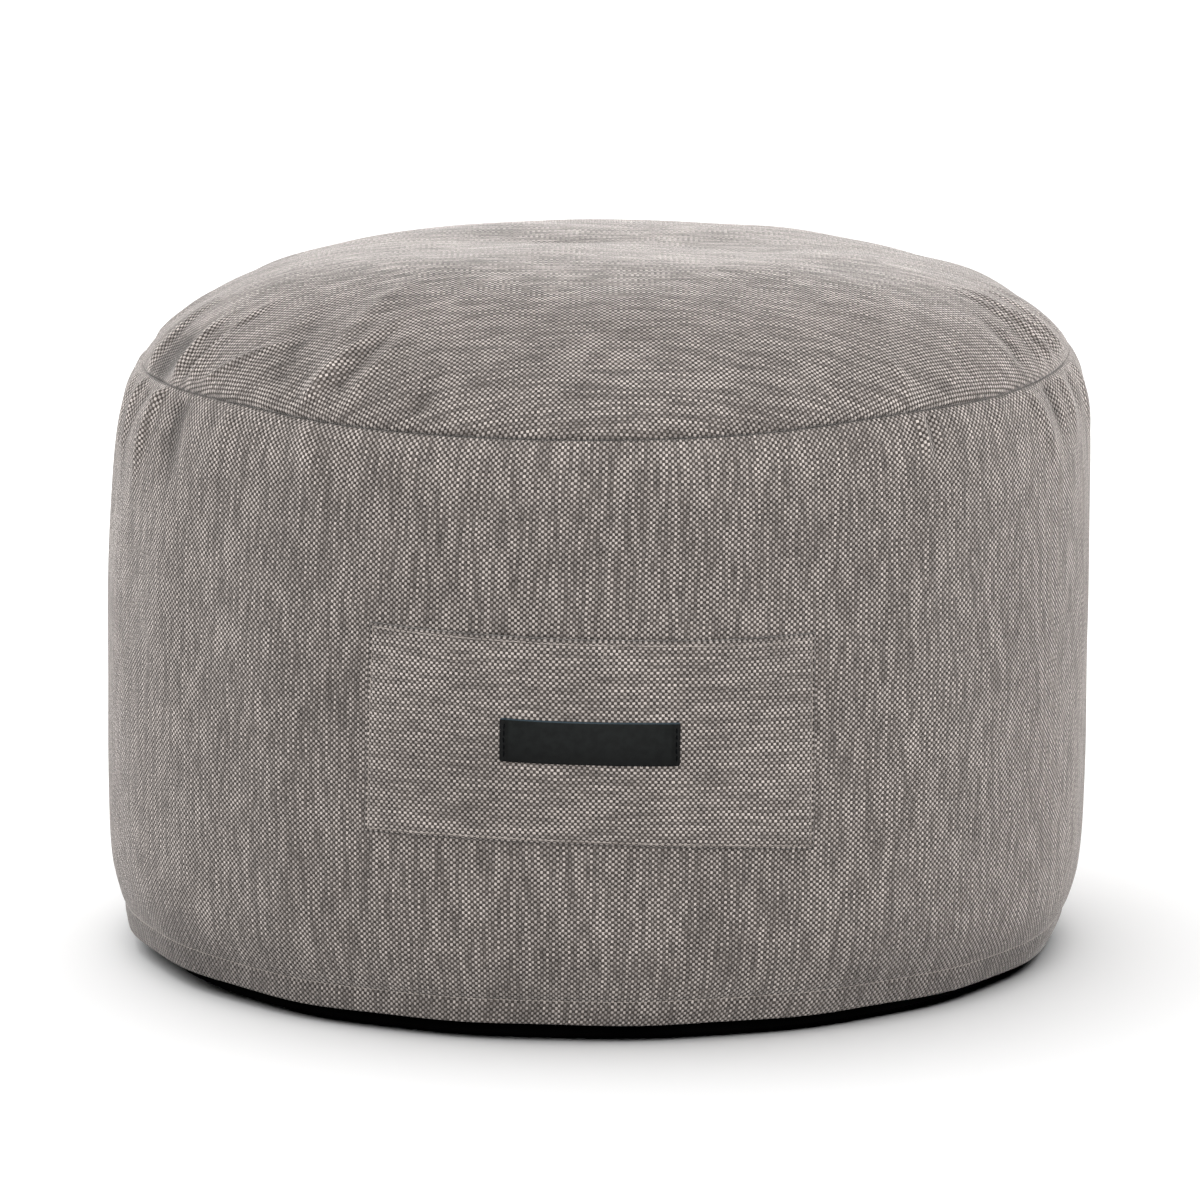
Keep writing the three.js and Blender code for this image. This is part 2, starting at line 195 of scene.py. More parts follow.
# The base: its flat part, and how far its rim stays inside the hem
BASE_FLAT_RADIUS = 224 * MM
BASE_RIM_INSET = 1.2 * MM
BASE_COLUMNS = 360
BASE_RIM_STEPS = 10
BASE_RINGS = (0.35, 0.7)  # on its flat part, as shares of the radius

# The pocket, by azimuths in degrees and heights above the hem edge
POCKET_MIDDLE = -0.87
POCKET_HALF = 25.52
POCKET_FLARE = 0.4
MOUTH_HEIGHT = 197.5 * MM
MOUTH_SLOPE = 3 * MM  # each end lies this much higher or lower than the middle
FOOT_HEIGHT = 94.1 * MM
FOOT_SLOPE = 4 * MM
FOOT_BOW = 3.1 * MM
POCKET_SLACK = 6.9 * MM  # how far its mouth stands off the wall in the middle
POCKET_FULLNESS = 2.6
POCKET_ROLL = 1.3 * MM  # radius of its turned edges
MOUTH_STITCH = 3.2 * MM  # below the mouth
MOUTH_STITCH_LEFT = 0.6  # share of that at the left end
SIDE_STITCH = 1.9 * MM  # in from the sides and the foot
SIDE_STITCH_START = 0.012  # share of the height, from the mouth down
MOUTH_DOUBLED = (0.45 * MM, 2.5 * MM)  # how much thicker it is there, and how far past the stitches that ends
SIDES_DOUBLED = (0.25 * MM, 6 * MM, 9 * MM)  # the same for what is turned under, between two distances
STITCH_DENT = (0.5 * MM, 0.8 * MM)  # depth and width of a sewn-down line
POCKET_TONES = (1.17, 1.03)  # its light and dark yarns against the wall's
POCKET_STREAKS = 0.8

# A loose end of thread hangs from the mouth's stitches: places across and down the pocket
LOOSE_END = ((0.046, 0.0413), (0.0504, 0.0581), (0.0485, 0.075), (0.0443, 0.0917), (0.0356, 0.1118))
LOOSE_END_RADIUS = 0.17 * MM
LOOSE_END_TAPER = 0.4
LOOSE_END_POINTS = 13

LABEL_HALF = 42.1 * MM  # along the wall: on the bulging pocket it is longer by the spread
LABEL_HEIGHT = 21.7 * MM
LABEL_THICK = 1.4 * MM
LABEL_MIDDLE = 146.5 * MM
LABEL_SLOPE = 1 * MM
LABEL_CORNER = 1.1 * MM
LABEL_ROLL = 0.55 * MM  # radius of its edges
LABEL_DENT = (0.35 * MM, 0.7 * MM)
LABEL_STITCH_LEFT = 2.1 * MM  # in from each end
LABEL_STITCH_RIGHT = 1.7 * MM

# What is turned under or drawn into a seam, past the finished size
TOP_TURNED_IN = 22 * MM
BASE_TURNED_IN = 25 * MM

# Single stitches
STITCH_SEEDS = {"hem_stitches": 1, "pocket_stitches": 2, "label_stitches": 3}
THREAD_SIDES = 6
THREAD_TIP = 0.3  # how far an end bulges, in thread radii
STITCH_POINTS = 7
STITCH_END = 0.08  # how thick its ends are, as a share of its section
STITCH_REACH = 0.94  # length against the distance between its holes
STITCH_UNEVEN = (0.95, 1.02)  # and how much that varies
STITCH_LIFT = (0.5, 0.9)  # height of its arch in thread radii
STITCH_SINK = 0.9  # how far its ends sink in, against that height
STITCH_TILT = 0.08  # radians
STITCH_DRIFT = 0.05 * MM
LABEL_STITCHES = (0.1, 0.9, 6)  # first and last place down the label, and how many places

COLUMNS = 720  # round the body
COLUMNS_FROM = ((150, COLUMNS), (75, 360), (37, 180), (0, 90))  # radius, and the columns from there outwards

# Steps between rows of points: the first beside an edge or a seam, how they grow, and the longest
EDGE_STEPS = (0.22 * MM, 1.35, 1.8 * MM)
HEM_STEPS = (0.45 * MM, 1.2, 3 * MM)
WALL_SEAM_STEPS = (0.3 * MM, 1.16, 3 * MM)
TOP_SEAM_STEPS = (0.25 * MM, 1.18, 2.5 * MM)
POCKET_STEPS = (0.25 * MM, 1.25, 1.9 * MM)
LABEL_STEPS_ACROSS = (0.12 * MM, 1.3, 1.2 * MM)
LABEL_STEPS_DOWN = (0.12 * MM, 1.3, 0.9 * MM)
WALL_STEPS_MEET = 150 * MM  # height at which the rows from the hem meet those from the seam

# Rings that don't show. Under the wall they are shares of the base's flat radius, with their columns, and
# under the top and on its inner face they are distances in from the seam
UNDER_WALL = ((0.2, 180), (0.6, 360))
UNDER_WALL_STEPS = 4
UNDER_TOP = (2, 6, 12, 22, 36, 56, 84, 120, 160, 200)
INSIDE_TOP = (215, 190, 150, 110, 80, 56, 36, 22, 12, 6, 2, 0)
TOP_LAST_RING = 228 * MM

NORMAL_STEP = 0.15 * MM
NORMAL_TURN = 0.06  # degrees
LENGTH_STEPS = 50  # along the cloth from a ring to the middle
GAP = 0.3 * MM  # between neighbouring pieces

YARNS_ROUND = 1038  # an even number, so that the weave closes at the back
WAVER_LIGHT = 1.3 * MM  # how far the yarns wander
WAVER_DARK = 1 * MM
LIGHT_TALLER = 0.16  # how much wider than the dark yarns the light ones show
LIGHT_APART = 1.713  # far enough in the noise that neighbouring yarns aren't alike
DARK_APART = 1.617
LIGHT_STREAKS = 42  # streaks per metre along a yarn
DARK_STREAKS = 60
LIGHT_UNEVEN = 0.35
NUBS = 0.3  # how much single crossings differ
PATCHES = 22  # broad light and dark patches per metre
BASE_YARN = 0.7 * MM
LEATHER_GRAIN = 1900  # grains and fibres per metre
THREAD_FUZZ = 2200
THREAD_GLOSS = 0.3
LABEL_THREAD_GLOSS = 0.05
HEM_THREAD_WIDTH = 0.75  # against the pocket's thread
LABEL_THREAD_WIDTH = 1.3

# Painted highlight and contrast in the middle of the top: there its light yarns are painted lighter and less
# alike, and its dark yarns darker
PAINTED_MIDDLE_REACH = (0.4, 0.8)  # most up to the first share of the seam's radius, and none from the second
PAINTED_MIDDLE_WIDTH = 0.72  # it reaches further to the sides
PAINTED_MIDDLE_LIGHT = 1.2
PAINTED_MIDDLE_DARK = 0.3
PAINTED_MIDDLE_UNEVEN = 1.55

# The cloth is painted darker between its folds as shade and lighter on them as a highlight, most at this
# depth and height
FOLD_DEPTH = 3.4 * MM
TROUGH_SHADE = 0.45
RIDGE_LIGHT = 1.22

# Painted shade: how dark the cloth is painted in the shade of its sewn edges, on the doubled hem band below
# its stitches, at the foot of the wall at the sides and back, and along the pocket's turned edges
SEAM_SHADE = 0.4
SEAM_SHADE_END = (76, 83)  # azimuths between which it fades
SEAM_SHADE_REACH = (0.3 * MM, 1.7 * MM)  # below the seam
HEM_SHADE = 0.86
FOOT_SHADE = 0.54
FOOT_SHADE_START = (20, 65)
FOOT_SHADE_REACH = 42 * MM
POCKET_EDGE_SHADE = 0.5
POCKET_EDGE_REACH = (0.4 * MM, 1.5 * MM)  # in from the edge

# The photograph's view
CAMERA_ELEVATION = 11.38
CAMERA_DISTANCE = 5.0
CAMERA_LENS = 293.7
CAMERA_SENSOR = 36
CAMERA_TARGET = Vector((0.0024, 0, 0.1739))

FLOOR_SIDES = 64
LIGHT_DISTANCE = 3.2
LIGHT_AIM = 0.15  # height of the point that the lights face


def length_setting(name, description, default):
    return bpy.props.FloatProperty(name=name, description=description, default=default, unit="LENGTH")


def colour_setting(name, description, default):
    return bpy.props.FloatVectorProperty(
        name=name, description=description, default=default, size=3, min=0, max=1, subtype="COLOR"
    )


def power_setting(name, description, default):
    return bpy.props.FloatProperty(name=name, description=description, default=default, min=0, unit="POWER")


class FootstoolBody(bpy.types.PropertyGroup):
    """Sizes of the stuffed body and its cloth."""

    hem_height: length_setting("Hem height", "Lower edge of the wall above the floor", 8.5 * MM)
    wall_height: length_setting("Wall height", "From the hem edge up to the seam", 294 * MM)
    seam_radius: length_setting("Seam radius", "Radius of the seam round the top", 236 * MM)
    crown_rise: length_setting("Crown rise", "From the seam up to the middle of the top", 52 * MM)
    cloth_thick: length_setting("Cloth", "Thickness of the top panel and the pocket", 2 * MM)
    base_thick: length_setting("Base cloth", "Thickness of the base panel", 2.4 * MM)
    fill: bpy.props.FloatProperty(
        name="Fill", description="How tight the filling is", default=0.9, min=0, max=1, subtype="FACTOR"
    )


class FootstoolCloth(bpy.types.PropertyGroup):
    """Yarns, colours and threads."""

    yarn_across: length_setting("Light yarns", "Distance between the light yarns", 1.5 * MM)
    yarn_along: length_setting("Dark yarns", "Distance between the dark yarns", 1.39 * MM)
    light: colour_setting("Light yarn", "Colour of the light yarns", (0.355, 0.317, 0.296))
    dark: colour_setting("Dark yarn", "Colour of the dark yarns", (0.05, 0.042, 0.037))
    # Near black: the base panel's own black, darkened further as painted shadow under the hem
    base: colour_setting("Base cloth", "Colour of the base panel", (0.0008, 0.0008, 0.0008))
    leather: colour_setting("Leather", "Colour of the label", (0.0046, 0.0055, 0.0053))
    # The label's top edge is painted this light blue-grey as a highlight
    leather_edge_highlight: colour_setting("Leather edge", "Colour of the label's highlighted top edge", (0.026, 0.04, 0.05))
    label_thread: colour_setting("Label thread", "Colour of the label's thread", (0.0005, 0.0009, 0.0013))
    thread: colour_setting("Thread", "Colour of the sewing thread", (0.31, 0.275, 0.25))
    stitch: length_setting("Stitch", "Length of a stitch", 3.2 * MM)
    thread_radius: length_setting("Thread radius", "Radius of the sewing thread", 0.26 * MM)


class FootstoolStage(bpy.types.PropertyGroup):
    """Floor and light."""

    floor_radius: length_setting("Floor", "Radius of the floor", 9)
    front_low: power_setting("Front, low", "Power of the low light in front", 76)
    front_high: power_setting("Front, high", "Power of the high light in front", 27)
    front_left: power_setting("Front left", "Power of the low light at the front left", 54)
    front_right: power_setting("Front right", "Power of the low light at the front right", 67)
    side: power_setting("Sides", "Power of the high light on each side", 43)
    side_low: power_setting("Sides, low", "Power of the low light on each side", 36)
    edge: power_setting("Edges", "Power of the wide low light behind each side", 120)
    back: power_setting("Back", "Power of the high light behind", 59)
    floor_light: power_setting("Floor light", "Power of the wide light over the floor", 570)


def smooth(value, low, high):
    """0 below low, 1 above high, and a smooth rise between."""
    t = np.clip((value - low) / (high - low), 0, 1)
    return t * t * (3 - 2 * t)


def bell(distance, width):
    return np.exp(-((distance / width) ** 2))


def on_circle(radius, turn):
    """Places round the middle, where no turn is straight in front."""
    return radius * np.sin(turn), -radius * np.cos(turn)


def unit(vectors):
    return vectors / np.linalg.norm(vectors, axis=-1, keepdims=True)


def rolled(distance, radius):
    """How much a rounded edge takes off, at a distance from the edge."""
    under_edge = np.clip(1 - distance / radius, 0, 1)
    return radius * (1 - np.sqrt(1 - under_edge**2))


def bells(azimuth, rows):
    """Adds up bells round the body, from rows of azimuth, width and height."""
    return sum(height * bell(azimuth - at, width) for at, width, height in rows)


def wall_radius(height):
    """Cubic curve through the wall's profile."""
    heights, radii = np.array(WALL_PROFILE, float).T * MM
    slopes = np.gradient(radii)
    slopes[1:-1] = (radii[2:] - radii[:-2]) / (heights[2:] - heights[:-2])
    slopes[0] = (radii[1] - radii[0]) / (heights[1] - heights[0])
    slopes[-1] = (radii[-1] - radii[-2]) / (heights[-1] - heights[-2])
    k = np.clip(np.searchsorted(heights, height, side="right") - 1, 0, len(heights) - 2)
    span = heights[k + 1] - heights[k]
    t = (height - heights[k]) / span
    rest = 1 - t
    ends = radii[k] * rest**2 * (1 + 2 * t) + radii[k + 1] * t**2 * (3 - 2 * t)
    return ends + span * t * rest * (slopes[k] * rest - slopes[k + 1] * t)


def small_puckers(side):
    """Seeded small folds along one side of the seam."""
    rng = np.random.default_rng(PUCKER_SEEDS[side])
    found = []
    for k in range(PUCKERS):
        at = -180 + 360 * (k + rng.uniform(-PUCKER_DRIFT, PUCKER_DRIFT)) / PUCKERS
        lower, spread = FRONT_PUCKERS
        width = rng.uniform(*PUCKER_WIDTH)
        height = rng.choice((-1, 1)) * rng.uniform(*PUCKER_HEIGHT) * (1 - lower * bell(at, spread))
        found.append(Fold(at, rng.uniform(*PUCKER_LEAN), 0, rng.uniform(*PUCKER_REACH), width, height))
    return found


FOLDS = {
    "wall": [Fold(*row) for row in WALL_FOLDS] + small_puckers("wall"),
    "top": [Fold(*row) for row in TOP_FOLDS] + small_puckers("top"),
}


def fold_relief(side, azimuth, distance, radius):
    """Relief of one side's folds at a distance from the seam."""
    total = np.zeros(np.broadcast(azimuth, distance).shape)
    for fold in FOLDS[side]:
        reach = fold.reach * MM
        centre = fold.at + fold.lean * distance / reach
        turn = np.radians((azimuth - centre + 180) % 360 - 180)
        grown = smooth(distance, fold.start * MM, fold.start * MM + FOLD_START)
        left = 1 - smooth(distance, FOLD_FADE * reach, reach)
        total += fold.height * MM * bell(turn * radius, fold.width * MM) * grown * left
    return total


def wall_unevenness(azimuth, height):
    """Broad soft waves that keep the stuffed wall from looking turned on a lathe."""
    rng = np.random.default_rng(UNEVEN_SEEDS["wall"])
    total = np.zeros(np.broadcast(azimuth, height).shape)
    for _ in range(UNEVEN_WAVES):
        waves = rng.integers(*WALL_WAVES)
        slant = rng.uniform(-WALL_SLANT, WALL_SLANT)
        total += np.cos(waves * np.radians(azimuth) + slant * height + rng.uniform(0, 2 * math.pi))
    return UNEVEN["wall"] * total / math.sqrt(UNEVEN_WAVES)


def top_unevenness(x, y):
    """The same for the top, with waves that run in every direction."""
    rng = np.random.default_rng(UNEVEN_SEEDS["top"])
    total = np.zeros(np.broadcast(x, y).shape)
    for _ in range(UNEVEN_WAVES):
        turn, wave, start = rng.uniform(0, math.pi), rng.uniform(*TOP_WAVES), rng.uniform(0, 2 * math.pi)
        place = x * math.cos(turn) + y * math.sin(turn)
        total += wave / TOP_WAVES[1] * np.cos(2 * math.pi * place / wave + start)
    return UNEVEN["top"] * total / math.sqrt(UNEVEN_WAVES)


def stand(body, azimuth, radius, height, level, seam_share):
    """A point of the leaning, tilted body.

    level is 0 at the hem and 1 from the seam up, and seam_share is how closely it follows the seam's waves.
    """
    x, y = on_circle(radius, np.radians(azimuth))
    x = LEAN * level**2 + HEM_SHIFT * (1 - level) ** HEM_SHIFT_FADE + x
    tilt = (HEM_TILT * (1 - level) + SEAM_TILT * level) * x
    wave = bells(azimuth, SEAM_RISES) - SEAM_WAVE * np.cos(2 * np.radians(azimuth - SEAM_WAVE_TURN))
    dip = bells(azimuth, HEM_DIPS) * (1 - smooth(level, 0, HEM_DIP_REACH))
    z = body.hem_height + height + tilt + wave * seam_share - dip
    return np.stack(np.broadcast_arrays(x, y, z), -1)


def seam_pull(azimuth, distance):
    """How far the seam draws a point in, as a radius and a height."""
    ease = 1
    for share, at, width in SEAM_EASES:
        ease = ease * (1 - share * bell(azimuth - at, width))
    pull = 0
    for depth, width in (SEAM_ROLL, SEAM_GROOVE):
        pull = pull - ease * depth * np.exp(-distance / width)
    angle = math.radians(SEAM_PULL_ANGLE)
    return pull * math.cos(angle), pull * math.sin(angle)


def wall_face(body, azimuth, height):
    """The wall's outer face at a height above the hem edge."""
    radius = wall_radius(height)
    slope = (wall_radius(height + MM) - radius) / MM
    length = np.sqrt(1 + slope**2)
    below = body.wall_height - height
    relief = fold_relief("wall", azimuth, below, radius)
    steady = smooth(height, 0, UNEVEN_FROM_HEM) * smooth(below, 0, UNEVEN_FROM_SEAM["wall"])
    relief = relief + wall_unevenness(azimuth, height) * steady
    for depth, width in (HEM_STITCH_ROLL, HEM_STITCH_GROOVE):
        relief = relief - depth * bell(height - HEM_STITCH_HEIGHT, width)
    flutter, waves, reach = HEM_FLUTTER
    relief = relief + flutter * np.sin(waves * np.radians(azimuth)) * (1 - smooth(height, 0, reach))
    relief = relief - rolled(height, HEM_EDGE)
    pulled, dropped = seam_pull(azimuth, below)
    radius = radius + relief / length + pulled
    level = height / body.wall_height
    height = height - relief * slope / length + dropped
    return stand(body, azimuth, radius, height, level, smooth(level, SEAM_WAVE_START, 1))


def crown_height(body, azimuth, inset):
    """Height of the plain crown over the seam, at a distance in from it."""
    share = np.clip(1 - inset / body.seam_radius, 0, 1)
    plain = body.crown_rise * (1 - share**2) * (1 + CROWN_FULLNESS * share**2 + CROWN_SHOULDER * share**6)
    front = (body.crown_rise + FRONT_LIFT) * (1 - share**FRONT_SQUARENESS) ** FRONT_ROUNDING
    return plain + (front - plain) * smooth(share * np.cos(np.radians(azimuth)), *FRONT_GROWTH)


def crown_face(body, azimuth, inset):
    """The top panel's outer face at a distance in from the seam, in plan."""
    share = 1 - inset / body.seam_radius
    radius = body.seam_radius - inset
    x, y = on_circle(radius, np.radians(azimuth))
    crown = crown_height(body, azimuth, inset)
    slope = (crown_height(body, azimuth, inset + MM) - crown) / MM
    length = np.sqrt(1 + slope**2)
    dimple = bell(x - DIMPLE.x * MM, DIMPLE.along * MM) * bell(y - DIMPLE.y * MM, DIMPLE.across * MM)
    relief = fold_relief("top", azimuth, inset, radius) - DIMPLE.depth * MM * dimple
    relief = relief + top_unevenness(x, y) * smooth(inset, 0, UNEVEN_FROM_SEAM["top"])
    pulled, dropped = seam_pull(azimuth, np.hypot(inset, crown))
    skew = CROWN_SKEW * (1 - share) * x / body.seam_radius
    height = body.wall_height + crown + relief / length + dropped + skew
    return stand(body, azimuth, radius + relief * slope / length + pulled, height, 1, share**3)


def normals_of(face, body, azimuth, along):
    """Outward normals of a face, from points close by."""
    point = face(body, azimuth, along)
    around = face(body, azimuth + NORMAL_TURN, along) - face(body, azimuth - NORMAL_TURN, along)
    up = face(body, azimuth, along + NORMAL_STEP) - point
    return unit(np.cross(around, up))


def offset(face, body, azimuth, along, distance):
    """Points that stand off a face by a distance, or lie under it if that is negative."""
    shape = np.broadcast(azimuth, along).shape
    azimuth, along = np.broadcast_to(azimuth, shape), np.broadcast_to(along, shape)
    distance = np.broadcast_to(distance, shape)[..., None]
    return face(body, azimuth, along) + normals_of(face, body, azimuth, along) * distance


class Sewn:
    """Gathers a piece's points, with the height of their folds, its faces and cloth coordinates."""

    def __init__(self):
        self.points = []
        self.relief = []
        self.faces = []
        self.cloth = []
        self.count = 0

    def add(self, points, cloth, relief=0):
        """Adds rows of points and returns them as (index, cloth place) pairs."""
        points = np.asarray(points, float).reshape(-1, 3)
        index = np.arange(self.count, self.count + len(points))
        self.points.append(points)
        self.relief.append(np.broadcast_to(relief, len(points)))
        self.count += len(points)
        return index, np.asarray(cloth, float)

    def ring(self, points, cloth, relief=0):
        """A closed ring. Its cloth places have one more than its points, for the closing step."""
        index, cloth = self.add(points, cloth, relief)
        return np.append(index, index[0]), cloth

    def face(self, *corners):
        """Faces from corners, each an array of indices and an array of cloth places."""
        self.faces.append(np.stack([index for index, _ in corners], -1))
        self.cloth.append(np.stack([cloth for _, cloth in corners], -2))

    def join(self, low, high):
        """Faces between two rings, where one may have twice the points of the other."""
        a = [(low[0][k:], low[1][k:]) for k in (0, 1, 2)]
        b = [(high[0][k:], high[1][k:]) for k in (0, 1, 2)]
        if len(low[0]) == len(high[0]):
            n = len(low[0]) - 1
            self.face(*[(i[:n], c[:n]) for i, c in (a[0], a[1], b[1], b[0])])
            return
        fewer, many, order = (b, a, 1) if len(low[0]) > len(high[0]) else (a, b, -1)
        n = len(fewer[0][0]) - 1
        few = [(i[:n], c[:n]) for i, c in fewer[:2]]
        lots = [(i[: 2 * n : 2], c[: 2 * n : 2]) for i, c in many]
        self.face(*(lots[0], lots[1], few[0])[::order])
        self.face(*(lots[1], few[1], few[0])[::order])
        self.face(*(lots[1], lots[2], few[1])[::order])

    def close(self, ring, point, order):
        """A fan from a ring to a point in its middle. order 1 looks up and -1 looks down."""
        n = len(ring[0]) - 1
        middle = self.add([point], [(0, 0)])
        centre = (np.repeat(middle[0], n), np.repeat(middle[1], n, axis=0))
        first, second = ((ring[0][k : k + n], ring[1][k : k + n]) for k in (0, 1))
        self.face(*(centre, first, second)[::order])

    def join_closed(self, rings, low, high):
        """Joins rings in their order, and closes the first and the last with a point."""
        for ring, following in zip(rings, rings[1:]):
            self.join(ring, following)
        self.close(rings[0], low, -1)
        self.close(rings[-1], high, 1)

    def make(self, name, material):
        """The finished object, smooth, with its cloth coordinates in metres."""
        faces = [tuple(row) for block in self.faces for row in block.tolist()]
        mesh = bpy.data.meshes.new(name)
        mesh.from_pydata(np.concatenate(self.points).tolist(), [], faces)
        places = np.concatenate([block.reshape(-1, 2) for block in self.cloth])
        layer = mesh.uv_layers.new(name="Cloth")
        layer.uv.foreach_set("vector", places.astype(np.float32).ravel())
        relief = mesh.attributes.new("Relief", "FLOAT", "POINT")
        relief.data.foreach_set("value", np.concatenate(self.relief).astype(np.float32))
        mesh.polygons.foreach_set("use_smooth", np.ones(len(mesh.polygons), bool))
        mesh.materials.append(material)
        made = bpy.data.objects.new(name, mesh)
        bpy.context.scene.collection.objects.link(made)
        return made


def azimuths(columns):
    return np.arange(columns) * 360 / columns - 180


def columns_at(radius):
    """Fewer columns towards the middle, so that faces keep their size."""
    return next(columns for least, columns in COLUMNS_FROM if radius >= least * MM)


def growing_steps(start, end, first, growth, longest):
    """Distances from start to end whose steps grow from first to longest."""
    steps = [start]
    step = first
    while steps[-1] + 1.5 * step < end:
        steps.append(steps[-1] + step)
        step = min(step * growth, longest)
    return np.array(steps + [end])


def fine_ends(span, steps):
    """Distances from 0 to span that lie close together at both ends."""
    near = growing_steps(0, span / 2, *steps)
    return np.concatenate([near, span - near[-2::-1]])


def wall_cloth(cloth, columns, height):
    """Cloth places round the wall: across the light yarns, then along them."""
    around = np.linspace(0, YARNS_ROUND * cloth.yarn_across, columns + 1)
    return np.stack([around, np.full(columns + 1, height)], -1)


def crown_length(body, azimuth, inset):
    """How long the cloth is from a distance in from the seam to the middle of the top."""
    azimuth = np.asarray(azimuth, float)[..., None]
    places = inset + (body.seam_radius - inset) * np.linspace(0, 1, LENGTH_STEPS) ** 2
    heights = crown_height(body, azimuth, places)
    return np.hypot(np.diff(places), np.diff(heights)).sum(-1)


def crown_cloth(body, columns, inset):
    """Cloth places on the top: its light yarns run from left to right, and neither yarn is drawn together."""
    azimuth = np.append(azimuths(columns), 180)
    plan, length = body.seam_radius - inset, crown_length(body, azimuth, inset)
    front, side = np.cos(np.radians(azimuth)), np.sin(np.radians(azimuth))
    width = length - (length - plan) * front**4
    return np.stack([-length * front, width * side], -1)


def base_rings(body, columns, inset, steps):
    """Rings from the flat base up its turned rim and out under the hem, an inset inside its outer face."""
    azimuth = azimuths(columns)
    hem = wall_face(body, azimuth, HEM_EDGE)
    turn = np.arctan2(hem[:, 0], -hem[:, 1])
    rim_height = hem[:, 2] - HEM_EDGE - GAP + max(inset - body.base_thick, 0)
    rim_radius = np.hypot(hem[:, 0], hem[:, 1]) - BASE_RIM_INSET - inset
    rings = []
    for quarter in np.linspace(0, math.pi / 2, steps + 1):
        radius = BASE_FLAT_RADIUS + (rim_radius - BASE_FLAT_RADIUS) * (1 - math.cos(quarter)) ** 2
        height = inset + (rim_height - inset) * math.sin(quarter)
        rings.append(np.stack([*on_circle(radius, turn), height], -1))
    return rings


def shrunk(ring, share):
    """A ring drawn together in plan."""
    return ring * np.array([share, share, 1])


def flat_cloth(ring):
    """Cloth places of a nearly flat ring, from above."""
    return np.vstack([ring[:, :2], ring[:1, :2]])


def build_wall(body, cloth, material):
    """The wall with what it holds, closed under the top panel and over the base."""
    sewn = Sewn()
    floor = body.base_thick + GAP
    under = [shrunk(base_rings(body, columns, floor, 1)[0], share) for share, columns in UNDER_WALL]
    under += base_rings(body, COLUMNS, floor, UNDER_WALL_STEPS)
    rings = [sewn.ring(ring, flat_cloth(ring)) for ring in under]
    edge = growing_steps(0, HEM_STITCH_HEIGHT, *EDGE_STEPS)
    above = growing_steps(HEM_STITCH_HEIGHT, WALL_STEPS_MEET, *HEM_STEPS)
    below_seam = growing_steps(0, body.wall_height - WALL_STEPS_MEET, *WALL_SEAM_STEPS)
    heights = np.concatenate([edge[:-1], above[:-1], body.wall_height - below_seam[::-1]])
    azimuth = azimuths(COLUMNS)
    for height in heights[:-1]:
        relief = fold_relief("wall", azimuth, body.wall_height - height, body.seam_radius)
        rings.append(sewn.ring(wall_face(body, azimuth, height), wall_cloth(cloth, COLUMNS, height), relief))
    rim = crown_face(body, azimuth, 0)
    outward = GAP * unit(rim - crown_face(body, azimuth, NORMAL_STEP))
    cover = body.cloth_thick + GAP
    rings.append(sewn.ring(rim + outward, wall_cloth(cloth, COLUMNS, body.wall_height)))
    tucked = offset(crown_face, body, azimuth, 0, -cover) + outward
    rings.append(sewn.ring(tucked, wall_cloth(cloth, COLUMNS, body.wall_height + cover)))
    rings += crown_rings(sewn, body, UNDER_TOP, cover)
    crest = crown_face(body, 0, body.seam_radius)
    sewn.join_closed(rings, (0, 0, floor), crest - np.array([0, 0, cover]))
    return sewn.make("wall_cover", material)


def crown_rings(sewn, body, insets, depth):
    """Rings that lie under the top panel's outer face by a depth, at insets from the seam in millimetres."""
    rings = []
    for inset in np.array(insets) * MM:
        columns = columns_at(body.seam_radius - inset)
        ring = offset(crown_face, body, azimuths(columns), inset, -depth)
        rings.append(sewn.ring(ring, crown_cloth(body, columns, inset)))
    return rings


def build_top(body, material):
    """The round top panel, a closed sheet of cloth."""
    sewn = Sewn()
    rings = crown_rings(sewn, body, INSIDE_TOP, body.cloth_thick)
    for inset in growing_steps(0, TOP_LAST_RING, *TOP_SEAM_STEPS):
        radius = body.seam_radius - inset
        columns = columns_at(radius)
        azimuth = azimuths(columns)
        relief = fold_relief("top", azimuth, inset, radius)
        rings.append(sewn.ring(crown_face(body, azimuth, inset), crown_cloth(body, columns, inset), relief))
    crest = crown_face(body, 0, body.seam_radius)
    sewn.join_closed(rings, crest - np.array([0, 0, body.cloth_thick]), crest)
    return sewn.make("top_cover", material)


def build_base(body, material):
    """The black base panel, a closed sheet with its rim turned up, so dark that it is partly painted shadow
    under the hem.
    """
    sewn = Sewn()
    outer = base_rings(body, BASE_COLUMNS, 0, BASE_RIM_STEPS)
    inner = base_rings(body, BASE_COLUMNS, body.base_thick, BASE_RIM_STEPS)[::-1]
    middle_out = [shrunk(outer[0], share) for share in BASE_RINGS]
    middle_in = [shrunk(inner[-1], share) for share in BASE_RINGS[::-1]]
    rings = [sewn.ring(ring, flat_cloth(ring)) for ring in middle_out + outer + inner + middle_in]
    sewn.join_closed(rings, (0, 0, 0), (0, 0, body.base_thick))
    return sewn.make("base_cover", material)


def mouth_at(u):
    return MOUTH_HEIGHT - MOUTH_SLOPE * u


def foot_at(u):
    return FOOT_HEIGHT - FOOT_SLOPE * u - FOOT_BOW * u**2


def pocket_height(u, v):
    """Height above the hem edge. u runs from -1 at the left to 1, v from 0 at the mouth to 1 at the foot."""
    return mouth_at(u) * (1 - v) + foot_at(u) * v


def pocket_place(body, u, v, stand_off):
    """A place on the pocket, or a distance outside it."""
    slack = POCKET_SLACK * (1 - np.clip(v, 0, 1) ** POCKET_FULLNESS) * (1 - np.abs(u) ** POCKET_FULLNESS)
    azimuth = POCKET_MIDDLE + u * (POCKET_HALF + POCKET_FLARE * v)
    return offset(wall_face, body, azimuth, pocket_height(u, v), GAP + slack + stand_off)


def pocket_size():
    """Half the pocket's width round the wall, and its height."""
    return math.radians(POCKET_HALF) * float(wall_radius(LABEL_MIDDLE)), MOUTH_HEIGHT - FOOT_HEIGHT


